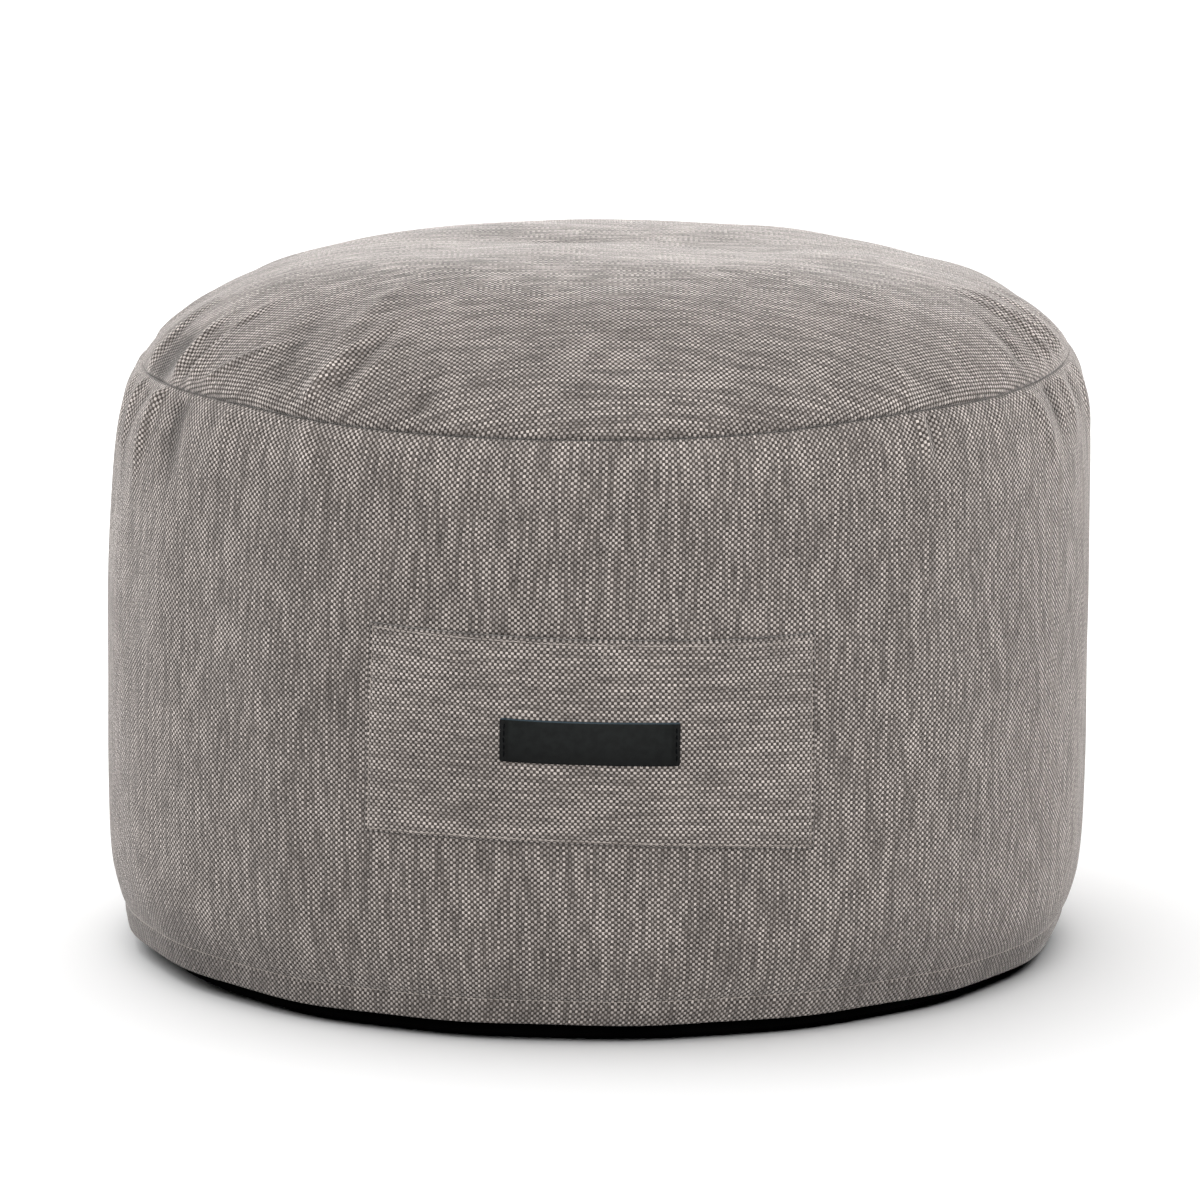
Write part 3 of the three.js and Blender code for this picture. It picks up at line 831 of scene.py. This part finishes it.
def pocket_thickness(body, u, v):
    """Thickness of the cloth: turned edges, sewn-down lines and the doubled mouth."""
    half, drop = pocket_size()
    side, top, foot = (1 - np.abs(u)) * half, v * drop, (1 - v) * drop
    sewn = np.minimum(side, foot)
    doubled, end = MOUTH_DOUBLED
    thick = body.cloth_thick + doubled * (1 - smooth(top, MOUTH_STITCH, MOUTH_STITCH + end))
    doubled, start, end = SIDES_DOUBLED
    thick = thick + doubled * (1 - smooth(sewn, start, end))
    dent, width = STITCH_DENT
    thick = thick - dent * bell(top - MOUTH_STITCH, width) - dent * bell(sewn - SIDE_STITCH, width)
    return thick - rolled(np.minimum(sewn, top), POCKET_ROLL)


def sheet_grid(across, down, outer, inner, cloth):
    """A closed sheet between two faces over a grid of places."""
    sewn = Sewn()
    u, v = np.meshgrid(across, down)
    shape = u.shape
    sides = []
    for face in (outer, inner):
        index, places = sewn.add(face(u, v), cloth(u, v).reshape(-1, 2))
        sides.append((index.reshape(shape), places.reshape(shape + (2,))))
    front, back = sides

    def block(side, rows, columns):
        index, places = side
        return index[rows, columns].ravel(), places[rows, columns].reshape(-1, 2)

    start, end = slice(None, -1), slice(1, None)
    around = ((start, start), (end, start), (end, end), (start, end))
    sewn.face(*[block(front, *at) for at in around])
    sewn.face(*[block(back, *at) for at in (around[0], *around[:0:-1])])
    for edge, order in ((slice(0, 1), 1), (slice(-1, None), -1)):
        for ends in (((edge, start), (edge, end)), ((end, edge), (start, edge))):
            corners = [block(front, *at) for at in ends] + [block(back, *at) for at in ends[::-1]]
            sewn.face(*corners[::order])
    return sewn


def build_pocket(body, material):
    """The pocket, whose light yarns run across: it is the same cloth turned by a quarter."""
    half, drop = pocket_size()
    sewn = sheet_grid(
        fine_ends(2 * half, POCKET_STEPS) / half - 1,
        fine_ends(drop, POCKET_STEPS) / drop,
        lambda u, v: pocket_place(body, u, v, pocket_thickness(body, u, v)),
        lambda u, v: pocket_place(body, u, v, 0),
        lambda u, v: np.stack([v * drop, u * half], -1),
    )
    return sewn.make("pocket_cover", material)


def label_place(body, u, v, stand_off):
    """A place on the label, which follows the pocket's outer face."""
    half, _ = pocket_size()
    across = u * LABEL_HALF / half
    height = LABEL_MIDDLE - LABEL_SLOPE * u + LABEL_HEIGHT * (0.5 - v)
    down = (mouth_at(across) - height) / (mouth_at(across) - foot_at(across))
    return pocket_place(body, across, down, body.cloth_thick + GAP + stand_off)


def label_thickness(u, v):
    """Rounded edges, and shallow grooves where the two ends are sewn down."""
    side, edge = (1 - np.abs(u)) * LABEL_HALF, (0.5 - np.abs(v - 0.5)) * LABEL_HEIGHT
    dent, width = LABEL_DENT
    groove = dent * bell(side - np.where(u < 0, LABEL_STITCH_LEFT, LABEL_STITCH_RIGHT), width)
    return LABEL_THICK - groove - rolled(np.minimum(side, edge), LABEL_ROLL)


def round_corners(u, v):
    """Places across the label, drawn in at its four corners."""
    return u * (1 - rolled((0.5 - np.abs(v - 0.5)) * LABEL_HEIGHT, LABEL_CORNER) / LABEL_HALF)


def build_label(body, material):
    sewn = sheet_grid(
        fine_ends(2 * LABEL_HALF, LABEL_STEPS_ACROSS) / LABEL_HALF - 1,
        fine_ends(LABEL_HEIGHT, LABEL_STEPS_DOWN) / LABEL_HEIGHT,
        lambda u, v: label_place(body, round_corners(u, v), v, label_thickness(u, v)),
        lambda u, v: label_place(body, round_corners(u, v), v, 0),
        lambda u, v: np.stack([u * LABEL_HALF, v * LABEL_HEIGHT], -1),
    )
    return sewn.make("label_cover", material)


def spin(sewn, centres, radii, across, up):
    """A closed length of thread through its centres. across and up are its two cross directions."""
    across, up = np.broadcast_to(across, centres.shape), np.broadcast_to(up, centres.shape)
    corners = np.linspace(0, 2 * math.pi, THREAD_SIDES, endpoint=False)
    rings = []
    for centre, radius, side, rise in zip(centres, radii, across, up):
        ring = centre + radius * (np.outer(np.cos(corners), side) + np.outer(np.sin(corners), rise))
        rings.append(sewn.ring(ring, np.zeros((THREAD_SIDES + 1, 2))))
    tips = []
    for tip, next_in in ((0, 1), (-1, -2)):
        forward = unit(centres[tip] - centres[next_in])
        tips.append(centres[tip] + forward * radii[len(radii) // 2] * THREAD_TIP)
    sewn.join_closed(rings, *tips)


def stitch_runs(name, runs, radius, material, loose=None):
    """Rows of single stitches. A run is (points, normals), and each stitch spans two neighbouring points."""
    rng = np.random.default_rng(STITCH_SEEDS[name])
    sewn = Sewn()
    along = np.linspace(0, 1, STITCH_POINTS)
    swell = np.sqrt(np.clip(1 - (2 * along - 1) ** 4, STITCH_END, 1))
    arch = np.sin(math.pi * along)
    for points, normals in runs:
        for a, b, up in zip(points[:-1], points[1:], normals[:-1]):
            length = np.linalg.norm(b - a)
            forward = (b - a) / length
            lean = rng.normal(0, STITCH_TILT)
            forward = forward * math.cos(lean) + np.cross(forward, up) * math.sin(lean)
            across = np.cross(forward, up)
            middle = (a + b) / 2 + across * rng.normal(0, STITCH_DRIFT)
            reach = STITCH_REACH * length * rng.uniform(*STITCH_UNEVEN)
            lift = radius * rng.uniform(*STITCH_LIFT)
            rise = arch * lift * 2 - lift * STITCH_SINK
            centres = middle + np.outer(along - 0.5, forward) * reach + np.outer(rise, up)
            spin(sewn, centres, swell * radius, across, up)
    if loose:
        spin(sewn, *loose)
    return sewn.make(name, material)


def hem_run(body, cloth):
    """Stitch places round the hem."""
    count = round(2 * math.pi * float(wall_radius(HEM_STITCH_HEIGHT)) / cloth.stitch)
    azimuth = np.linspace(-180, 180, count + 1)
    points = offset(wall_face, body, azimuth, HEM_STITCH_HEIGHT, 0)
    return points, normals_of(wall_face, body, azimuth, np.full(count + 1, HEM_STITCH_HEIGHT))


def pocket_normals(body, u, v):
    return normals_of(wall_face, body, POCKET_MIDDLE + u * POCKET_HALF, pocket_height(u, v))


def pocket_run(body, cloth, start, end):
    """Stitch places on the pocket's outer face, between two (u, v) places."""
    half, drop = pocket_size()
    length = math.hypot((end[0] - start[0]) * half, (end[1] - start[1]) * drop)
    share = np.linspace(0, 1, round(length / cloth.stitch) + 1)
    u, v = (start[k] + (end[k] - start[k]) * share for k in (0, 1))
    return pocket_place(body, u, v, pocket_thickness(body, u, v)), pocket_normals(body, u, v)


def loose_end(body):
    """A short end of thread that lies on the pocket, thinner at its tip."""
    share = np.linspace(0, 1, LOOSE_END_POINTS)
    u, v = (np.interp(share, np.linspace(0, 1, len(LOOSE_END)), row) for row in zip(*LOOSE_END))
    radii = LOOSE_END_RADIUS * (1 - LOOSE_END_TAPER * share)
    centres = pocket_place(body, u, v, pocket_thickness(body, u, v) + radii)
    up = pocket_normals(body, u, v)
    across = unit(np.cross(np.gradient(centres, axis=0), up))
    return centres, radii, across, up


def label_run(body, u):
    """Stitch places down one end of the label."""
    v = np.linspace(*LABEL_STITCHES)
    across = np.full(len(v), u)
    points = label_place(body, across, v, label_thickness(across, v))
    azimuth = POCKET_MIDDLE + across * LABEL_HALF / pocket_size()[0] * POCKET_HALF
    return points, normals_of(wall_face, body, azimuth, LABEL_MIDDLE + LABEL_HEIGHT * (0.5 - v))


class Value:
    """What a material's node gives. Arithmetic with it adds the nodes that do the sum."""

    def __init__(self, nodes, socket):
        self.nodes = nodes
        self.socket = socket

    def __add__(self, other):
        return self.nodes.calc("ADD", self, other)

    def __sub__(self, other):
        return self.nodes.calc("SUBTRACT", self, other)

    def __rsub__(self, other):
        return self.nodes.calc("SUBTRACT", other, self)

    def __mul__(self, other):
        return self.nodes.calc("MULTIPLY", self, other)

    def __truediv__(self, other):
        return self.nodes.calc("DIVIDE", self, other)

    def __pow__(self, other):
        return self.nodes.calc("POWER", self, other)

    def __abs__(self):
        return self.nodes.calc("ABSOLUTE", self)


class Nodes:
    """Short calls for a material's nodes."""

    def __init__(self, name):
        self.material = bpy.data.materials.new(name)
        self.material.use_nodes = True
        self.tree = self.material.node_tree

    def put(self, socket, value):
        if isinstance(value, Value):
            self.tree.links.new(value.socket, socket)
        else:
            socket.default_value = value

    def node(self, kind, output, inputs, **settings):
        """Adds a node and returns one of its outputs."""
        made = self.tree.nodes.new(kind)
        for key, value in settings.items():
            setattr(made, key, value)
        for key, value in inputs.items():
            self.put(made.inputs[key], value)
        return Value(self, made.outputs[output])

    def calc(self, operation, *values):
        return self.node("ShaderNodeMath", 0, dict(enumerate(values)), operation=operation)

    def ramp(self, value, low, high, to_low=0.0, to_high=1.0):
        """A smooth rise between two values."""
        inputs = {"Value": value, "From Min": low, "From Max": high, "To Min": to_low, "To Max": to_high}
        return self.node("ShaderNodeMapRange", "Result", inputs, interpolation_type="SMOOTHSTEP")

    def place(self, x, y):
        return self.node("ShaderNodeCombineXYZ", "Vector", {"X": x, "Y": y})

    def cloth_places(self):
        """The two cloth coordinates, in metres."""
        uv = self.node("ShaderNodeUVMap", "UV", {}, uv_map="Cloth")
        return (self.node("ShaderNodeSeparateXYZ", axis, {"Vector": uv}) for axis in "XY")

    def noise(self, place, scale, detail):
        inputs = {"Vector": place, "Scale": scale, "Detail": detail}
        return self.node("ShaderNodeTexNoise", "Fac", inputs, noise_dimensions="2D")

    def mix(self, share, a, b, blend="MIX"):
        """Two colours mixed, by the node's own numbers for its colour sockets."""
        return self.node("ShaderNodeMix", 2, {0: share, 6: a, 7: b}, data_type="RGBA", blend_type=blend)

    def tint(self, colour, amount):
        """A colour times a number."""
        grey = self.node("ShaderNodeCombineColor", "Color", {"Red": amount, "Green": amount, "Blue": amount})
        return self.mix(1.0, colour, grey, "MULTIPLY")

    def bump(self, height, distance, strength):
        inputs = {"Height": height, "Distance": distance, "Strength": strength}
        return self.node("ShaderNodeBump", "Normal", inputs)

    def finish(self, inputs):
        """Sets the shader's inputs and returns the material."""
        for key, value in inputs.items():
            self.put(self.tree.nodes["Principled BSDF"].inputs[key], value)
        return self.material


def rgba(colour):
    return (*colour, 1.0)


def woven_cloth(name, cloth, tones=(1.0, 1.0), streaks=1.0, stretched=None, shade=None):
    """Plain weave of uneven light yarns over and under darker ones.

    tones lighten the two, streaks is how uneven the light ones are, and shade(nodes, x, y) darkens places.
    A painted highlight and contrast in the middle of the top take two distances from it: the yarns stand out
    most up to the first, and from the second they are as elsewhere.
    """
    n = Nodes(name)
    x, y = n.cloth_places()
    u = (x + (n.noise(n.place(x, y * 0.5), 90, 2) - 0.5) * WAVER_LIGHT) / cloth.yarn_across
    v = (y + (n.noise(n.place(x + 3.1, y), 70, 2) - 0.5) * WAVER_DARK) / cloth.yarn_along
    across, along = n.calc("SINE", u * math.pi), n.calc("SINE", v * math.pi)
    over = across * along + (across * across - along * along) * LIGHT_TALLER
    column, row = n.calc("FLOOR", u), n.calc("FLOOR", v)
    slub = n.noise(n.place(column * LIGHT_APART, y * LIGHT_STREAKS), 1.0, 2)
    strand = n.noise(n.place(x * DARK_STREAKS, row * DARK_APART), 1.0, 2)
    crossing = {"Vector": n.place(column, row)}
    nub = n.node("ShaderNodeTexWhiteNoise", "Value", crossing, noise_dimensions="2D") * NUBS
    patch = n.noise(n.place(x, y), PATCHES, 2)
    swing = LIGHT_UNEVEN * streaks
    light = n.ramp(slub, 0.3, 0.72, 0.85 - swing, 0.85 + swing) + nub
    light = light * n.ramp(patch, 0.25, 0.75, 0.93 * tones[0], 1.05 * tones[0])
    dark = n.ramp(strand, 0.3, 0.7, 0.7, 1.3) + nub
    dark = dark * n.ramp(patch, 0.25, 0.75, 0.96 * tones[1], 1.04 * tones[1])
    # Painted highlight and contrast in the middle of the top
    if stretched:
        narrow = {0: n.place(x, y * PAINTED_MIDDLE_WIDTH)}
        middle = n.node("ShaderNodeVectorMath", "Value", narrow, operation="LENGTH")
        light = light ** n.ramp(middle, *stretched, PAINTED_MIDDLE_UNEVEN, 1.0)
        light = light * n.ramp(middle, *stretched, PAINTED_MIDDLE_LIGHT, 1.0)
        dark = dark * n.ramp(middle, *stretched, PAINTED_MIDDLE_DARK, 1.0)
    colour = n.mix(n.ramp(over, -0.3, 0.34), n.tint(rgba(cloth.dark), dark), n.tint(rgba(cloth.light), light))
    height = n.ramp(abs(over), 0.0, 0.55)
    # Painted shade in the hollows between the yarns
    colour = n.tint(colour, n.ramp(height, 0.0, 0.6, 0.6, 1.0))
    relief = n.node("ShaderNodeAttribute", "Fac", {}, attribute_name="Relief")
    # Painted shade in the folds' troughs and a painted highlight on their ridges
    colour = n.tint(colour, n.ramp(relief, -FOLD_DEPTH, 0.0, TROUGH_SHADE, 1.0))
    colour = n.tint(colour, n.ramp(relief, 0.0, FOLD_DEPTH, 1.0, RIDGE_LIGHT))
    return n.finish({
        "Base Color": n.tint(colour, shade(n, x, y)) if shade else colour,
        "Roughness": 0.92,
        "Specular IOR Level": 0.2,
        "Sheen Weight": 0.28,
        "Sheen Roughness": 0.3,
        "Sheen Tint": (0.95, 0.905, 0.87, 1),
        "Normal": n.bump(height, 0.35 * MM, 0.8),
    })


def wall_shade(body, cloth):
    """Paints shade on the wall: on its edge in the seam, on its doubled hem below the stitches, and on its
    foot at the sides and back.
    """
    def shade(n, x, y):
        around = abs(x / (YARNS_ROUND * cloth.yarn_across) - 0.5) * 360
        in_seam = n.ramp(around, *SEAM_SHADE_END, SEAM_SHADE, 1.0)
        seam = n.ramp(body.wall_height - y, *SEAM_SHADE_REACH, in_seam, 1.0)
        hem = n.ramp(y, HEM_STITCH_HEIGHT - MM, HEM_STITCH_HEIGHT + MM, HEM_SHADE, 1.0)
        foot = n.ramp(y, 0.0, FOOT_SHADE_REACH, n.ramp(around, *FOOT_SHADE_START, 1.0, FOOT_SHADE), 1.0)
        return seam * hem * foot
    return shade


def pocket_shade(half, drop):
    """Paints shade along all four of the pocket's turned edges."""
    def shade(n, x, y):
        nearest = n.calc("MINIMUM", half - abs(y), n.calc("MINIMUM", x, drop - x))
        return n.ramp(nearest, *POCKET_EDGE_REACH, POCKET_EDGE_SHADE, 1.0)
    return shade


def black_cloth(name, cloth):
    """Plain black base cloth with a fine weave, darkened nearly to nothing as painted shadow under the hem.
    """
    n = Nodes(name)
    x, y = n.cloth_places()
    weave = n.calc("SINE", x * (math.pi / BASE_YARN)) * n.calc("SINE", y * (math.pi / BASE_YARN))
    wear = n.noise(n.place(x, y), 30, 3)
    return n.finish({
        "Base Color": n.tint(rgba(cloth.base), n.ramp(wear, 0.2, 0.8, 0.7, 1.4)),
        "Roughness": 0.95,
        "Specular IOR Level": 0.0,
        "Normal": n.bump(n.ramp(abs(weave), 0.0, 0.6), 0.1 * MM, 0.5),
    })


def label_leather(name, cloth):
    """Smooth black leather with a fine grain, a painted highlight along its top edge, and painted shade at
    its two ends and towards its foot.
    """
    n = Nodes(name)
    x, y = n.cloth_places()
    place = n.place(x, y)
    grain = {"Vector": place, "Scale": LEATHER_GRAIN, "Randomness": 1.0}
    cells = n.node("ShaderNodeTexVoronoi", "Distance", grain, voronoi_dimensions="2D")
    soft = n.noise(place, 260, 3)
    colour = n.tint(rgba(cloth.leather), n.ramp(soft, 0.25, 0.75, 0.8, 1.3))
    # Painted shade towards the foot and at the two sewn-down ends
    foot = n.ramp(y, 0.4 * LABEL_HEIGHT, LABEL_HEIGHT, 1.0, 0.35)
    ends = n.ramp(abs(x), LABEL_HALF - 5 * MM, LABEL_HALF - 3.5 * MM, 1.0, 0.45)
    # Painted highlight along the top edge
    edge = n.ramp(y, 0.25 * MM, 0.8 * MM, 1.0, 0.0)
    return n.finish({
        "Base Color": n.mix(edge, n.tint(colour, foot * ends), rgba(cloth.leather_edge_highlight)),
        "Roughness": n.ramp(soft, 0.2, 0.8, 0.36, 0.5),
        "Specular IOR Level": 0.09,
        "Normal": n.bump(cells * -0.6 + soft, 0.09 * MM, 0.5),
    })


def sewing_thread(name, colour, gloss):
    """Matt spun thread, a little uneven along its length."""
    n = Nodes(name)
    place = n.node("ShaderNodeTexCoord", "Object", {})
    fuzz = n.node("ShaderNodeTexNoise", "Fac", {"Vector": place, "Scale": THREAD_FUZZ, "Detail": 2.0})
    return n.finish({
        "Base Color": n.tint(rgba(colour), n.ramp(fuzz, 0.3, 0.7, 0.75, 1.2)),
        "Roughness": 0.75,
        "Specular IOR Level": gloss,
        "Normal": n.bump(fuzz, 0.05 * MM, 0.6),
    })


def carry(piece, slot, *nodes):
    """A piece rides on the footstool and hides the nodes that it stands for; slot is not used."""
    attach(piece, "root")
    if nodes:
        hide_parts(*nodes)
    return piece


def shared_material(make, name, *facts, **more):
    """One material for all the pieces cut from the same stuff."""
    return bpy.data.materials.get(name) or make(name, *facts, **more)


def round_sheet(radius):
    """Works out the flat size and area of a round sheet drawn tight over the filling, from the radius it was
    cut to, and uses neither.
    """
    flat, area = (2 * radius, 2 * radius), math.pi * radius**2


def body_and_cloth(context):
    return context.scene.footstool_body, context.scene.footstool_cloth


class FOOTSTOOL_OT_cover(bpy.types.Operator):
    """Sew the wall and the domed top panel, drawn in along the seam between them"""

    bl_idname = "footstool.cover"
    bl_label = "Cover"

    def execute(self, context):
        body, cloth = body_and_cloth(context)
        material = shared_material(woven_cloth, "Wall cloth", cloth, shade=wall_shade(body, cloth))
        wall = build_wall(body, cloth, material)
        carry(wall, "cloth", "side_wall")
        # The middle of the top, where a highlight and contrast are painted
        stretched = [share * body.seam_radius for share in PAINTED_MIDDLE_REACH]
        top = build_top(body, shared_material(woven_cloth, "Top cloth", cloth, stretched=stretched))
        carry(top, "cloth", "top_panel")
        round_sheet(body.seam_radius + TOP_TURNED_IN)
        return {"FINISHED"}


class FOOTSTOOL_OT_base(bpy.types.Operator):
    """Sew the black base panel, its rim turned up to the hem and its colour darkened as painted shadow"""

    bl_idname = "footstool.base"
    bl_label = "Base"

    def execute(self, context):
        body, cloth = body_and_cloth(context)
        base = build_base(body, shared_material(black_cloth, "Base cloth", cloth))
        carry(base, "base_cloth", "base_panel")
        round_sheet(BASE_FLAT_RADIUS + BASE_TURNED_IN)
        return {"FINISHED"}


class FOOTSTOOL_OT_pocket(bpy.types.Operator):
    """Sew the patch pocket, its cloth turned by a quarter and its mouth hemmed"""

    bl_idname = "footstool.pocket"
    bl_label = "Pocket"

    def execute(self, context):
        body, cloth = body_and_cloth(context)
        half, drop = pocket_size()
        finish = {"tones": POCKET_TONES, "streaks": POCKET_STREAKS, "shade": pocket_shade(half, drop)}
        pocket = build_pocket(body, shared_material(woven_cloth, "Pocket cloth", cloth, **finish))
        carry(pocket, "cloth", "side_pocket")
        return {"FINISHED"}


class FOOTSTOOL_OT_label(bpy.types.Operator):
    """Sew the blank leather label to the pocket at its two ends"""

    bl_idname = "footstool.label"
    bl_label = "Label"

    def execute(self, context):
        body, cloth = body_and_cloth(context)
        label = build_label(body, shared_material(label_leather, "Label leather", cloth))
        carry(label, "leather", "label_tab")
        thread = shared_material(sewing_thread, "Label thread", cloth.label_thread, LABEL_THREAD_GLOSS)
        ends = (LABEL_STITCH_LEFT / LABEL_HALF - 1, 1 - LABEL_STITCH_RIGHT / LABEL_HALF)
        runs = [label_run(body, end) for end in ends]
        sewn = stitch_runs("label_stitches", runs, LABEL_THREAD_WIDTH * cloth.thread_radius, thread)
        carry(sewn, "leather")
        return {"FINISHED"}


class FOOTSTOOL_OT_stitches(bpy.types.Operator):
    """Run the rows of stitches along the hem and round the pocket, and leave one loose thread end"""

    bl_idname = "footstool.stitches"
    bl_label = "Stitches"

    def execute(self, context):
        body, cloth = body_and_cloth(context)
        thread = shared_material(sewing_thread, "Sewing thread", cloth.thread, THREAD_GLOSS)
        radius = HEM_THREAD_WIDTH * cloth.thread_radius
        hem = stitch_runs("hem_stitches", [hem_run(body, cloth)], radius, thread)
        carry(hem, "cloth")
        half, drop = pocket_size()
        side, foot, mouth = 1 - SIDE_STITCH / half, 1 - SIDE_STITCH / drop, MOUTH_STITCH / drop
        lines = (
            ((-side, SIDE_STITCH_START), (-side, foot)),
            ((-side, foot), (side, foot)),
            ((side, foot), (side, SIDE_STITCH_START)),
            ((-side, MOUTH_STITCH_LEFT * mouth), (side, mouth)),
        )
        runs = [pocket_run(body, cloth, *line) for line in lines]
        sewn = stitch_runs("pocket_stitches", runs, cloth.thread_radius, thread, loose_end(body))
        carry(sewn, "cloth")
        return {"FINISHED"}


def lay_floor(radius):
    """A round white floor."""
    sewn = Sewn()
    turn = np.radians(azimuths(FLOOR_SIDES))
    edge = np.stack([*on_circle(radius, turn), np.zeros(FLOOR_SIDES)], -1)
    sewn.close(sewn.ring(edge, flat_cloth(edge)), (0, 0, 0), 1)
    white = {"Base Color": (0.9, 0.9, 0.9, 1), "Roughness": 0.9, "Specular IOR Level": 0.0}
    floor = sewn.make("floor", Nodes("White floor").finish(white))
    floor.visible_diffuse = False  # it throws no light up on the cloth
    return floor


def hang_light(scene, receivers, name, power, width, around, up):
    """A square light that faces the footstool from an azimuth and elevation, for its receivers alone."""
    light = bpy.data.lights.new(name, "AREA")
    light.energy = power
    light.size = width
    lamp = bpy.data.objects.new(name, light)
    turn, lift = math.radians(around), math.radians(up)
    way = Vector((*on_circle(math.cos(lift), turn), math.sin(lift)))
    lamp.location = way * LIGHT_DISTANCE + Vector((0, 0, LIGHT_AIM))
    lamp.rotation_euler = way.to_track_quat("Z", "Y").to_euler()
    lamp.light_linking.receiver_collection = receivers
    scene.collection.objects.link(lamp)


def surround_with_white(scene):
    """White surroundings that only the camera sees."""
    world = bpy.data.worlds.new("White surroundings")
    world.use_nodes = True
    world.node_tree.nodes["Background"].inputs["Color"].default_value = (1, 1, 1, 1)
    scene.world = world
    world.cycles_visibility.diffuse = False
    world.cycles_visibility.glossy = False


def aim_camera(scene):
    elevation = math.radians(CAMERA_ELEVATION)
    camera = bpy.data.objects.new("Camera", bpy.data.cameras.new("Camera"))
    camera.data.lens = CAMERA_LENS
    camera.data.sensor_width = CAMERA_SENSOR
    away = Vector((0, -math.cos(elevation), math.sin(elevation)))
    camera.location = CAMERA_TARGET + away * CAMERA_DISTANCE
    camera.rotation_euler = (math.pi / 2 - elevation, 0, 0)
    scene.collection.objects.link(camera)
    scene.camera = camera


class FOOTSTOOL_OT_stage(bpy.types.Operator):
    """Lay the white floor, set the soft studio light and aim the camera"""

    bl_idname = "footstool.stage"
    bl_label = "Stage"

    def execute(self, context):
        scene, stage = context.scene, context.scene.footstool_stage
        floor = lay_floor(stage.floor_radius)
        floor_only = bpy.data.collections.new("Floor only")
        no_floor = bpy.data.collections.new("All but the floor")
        floor_only.objects.link(floor)
        no_floor.objects.link(floor)
        no_floor.collection_objects[0].light_linking.link_state = "EXCLUDE"
        # Name, power, width, and the azimuth and elevation that each light shines from
        for light in (
            ("Front, low", stage.front_low, 1.4, 0, 10),
            ("Front, high", stage.front_high, 1.4, 0, 75),
            ("Front left", stage.front_left, 1.4, -60, 12),
            ("Front right", stage.front_right, 1.4, 60, 12),
            ("Left", stage.side, 1.4, -90, 40),
            ("Right", stage.side, 1.4, 90, 40),
            ("Left, low", stage.side_low, 1.4, -120, 8),
            ("Right, low", stage.side_low, 1.4, 120, 8),
            ("Left edge", stage.edge, 2.0, -140, 8),
            ("Right edge", stage.edge, 2.0, 140, 8),
            ("Back", stage.back, 1.4, 180, 35),
        ):
            hang_light(scene, no_floor, *light)
        hang_light(scene, floor_only, "Floor light", stage.floor_light, 9.0, -148, 76)
        surround_with_white(scene)
        scene.view_settings.view_transform = "Standard"
        aim_camera(scene)
        return {"FINISHED"}


class FOOTSTOOL_PT_panel(bpy.types.Panel):
    """Lists the footstool's pieces in the order in which they are made"""

    bl_idname = "FOOTSTOOL_PT_panel"
    bl_label = "Footstool"
    bl_space_type = "VIEW_3D"
    bl_region_type = "UI"
    bl_category = "Footstool"

    def draw(self, context):
        for group in ("footstool_body", "footstool_cloth", "footstool_stage"):
            settings = getattr(context.scene, group)
            box = self.layout.box()
            for key in settings.bl_rna.properties.keys():
                if key not in ("rna_type", "name"):
                    box.prop(settings, key)
        for operator in PIECES:
            self.layout.operator(operator.bl_idname)


SETTINGS = {
    "footstool_body": FootstoolBody,
    "footstool_cloth": FootstoolCloth,
    "footstool_stage": FootstoolStage,
}
PIECES = (
    FOOTSTOOL_OT_cover,
    FOOTSTOOL_OT_base,
    FOOTSTOOL_OT_pocket,
    FOOTSTOOL_OT_label,
    FOOTSTOOL_OT_stitches,
    FOOTSTOOL_OT_stage,
)


def register():
    for settings in SETTINGS.values():
        bpy.utils.register_class(settings)
    for key, settings in SETTINGS.items():
        setattr(bpy.types.Scene, key, bpy.props.PointerProperty(type=settings))
    for operator in (*PIECES, FOOTSTOOL_PT_panel):
        bpy.utils.register_class(operator)


def unregister():
    for operator in (FOOTSTOOL_PT_panel, *reversed(PIECES)):
        bpy.utils.unregister_class(operator)
    for key in SETTINGS:
        delattr(bpy.types.Scene, key)
    for settings in reversed(SETTINGS.values()):
        bpy.utils.unregister_class(settings)


def main():
    register()
    bpy.ops.footstool.cover()
    bpy.ops.footstool.base()
    bpy.ops.footstool.pocket()
    bpy.ops.footstool.label()
    bpy.ops.footstool.stitches()
    bpy.ops.footstool.stage()


if __name__ == "__main__":
    main()
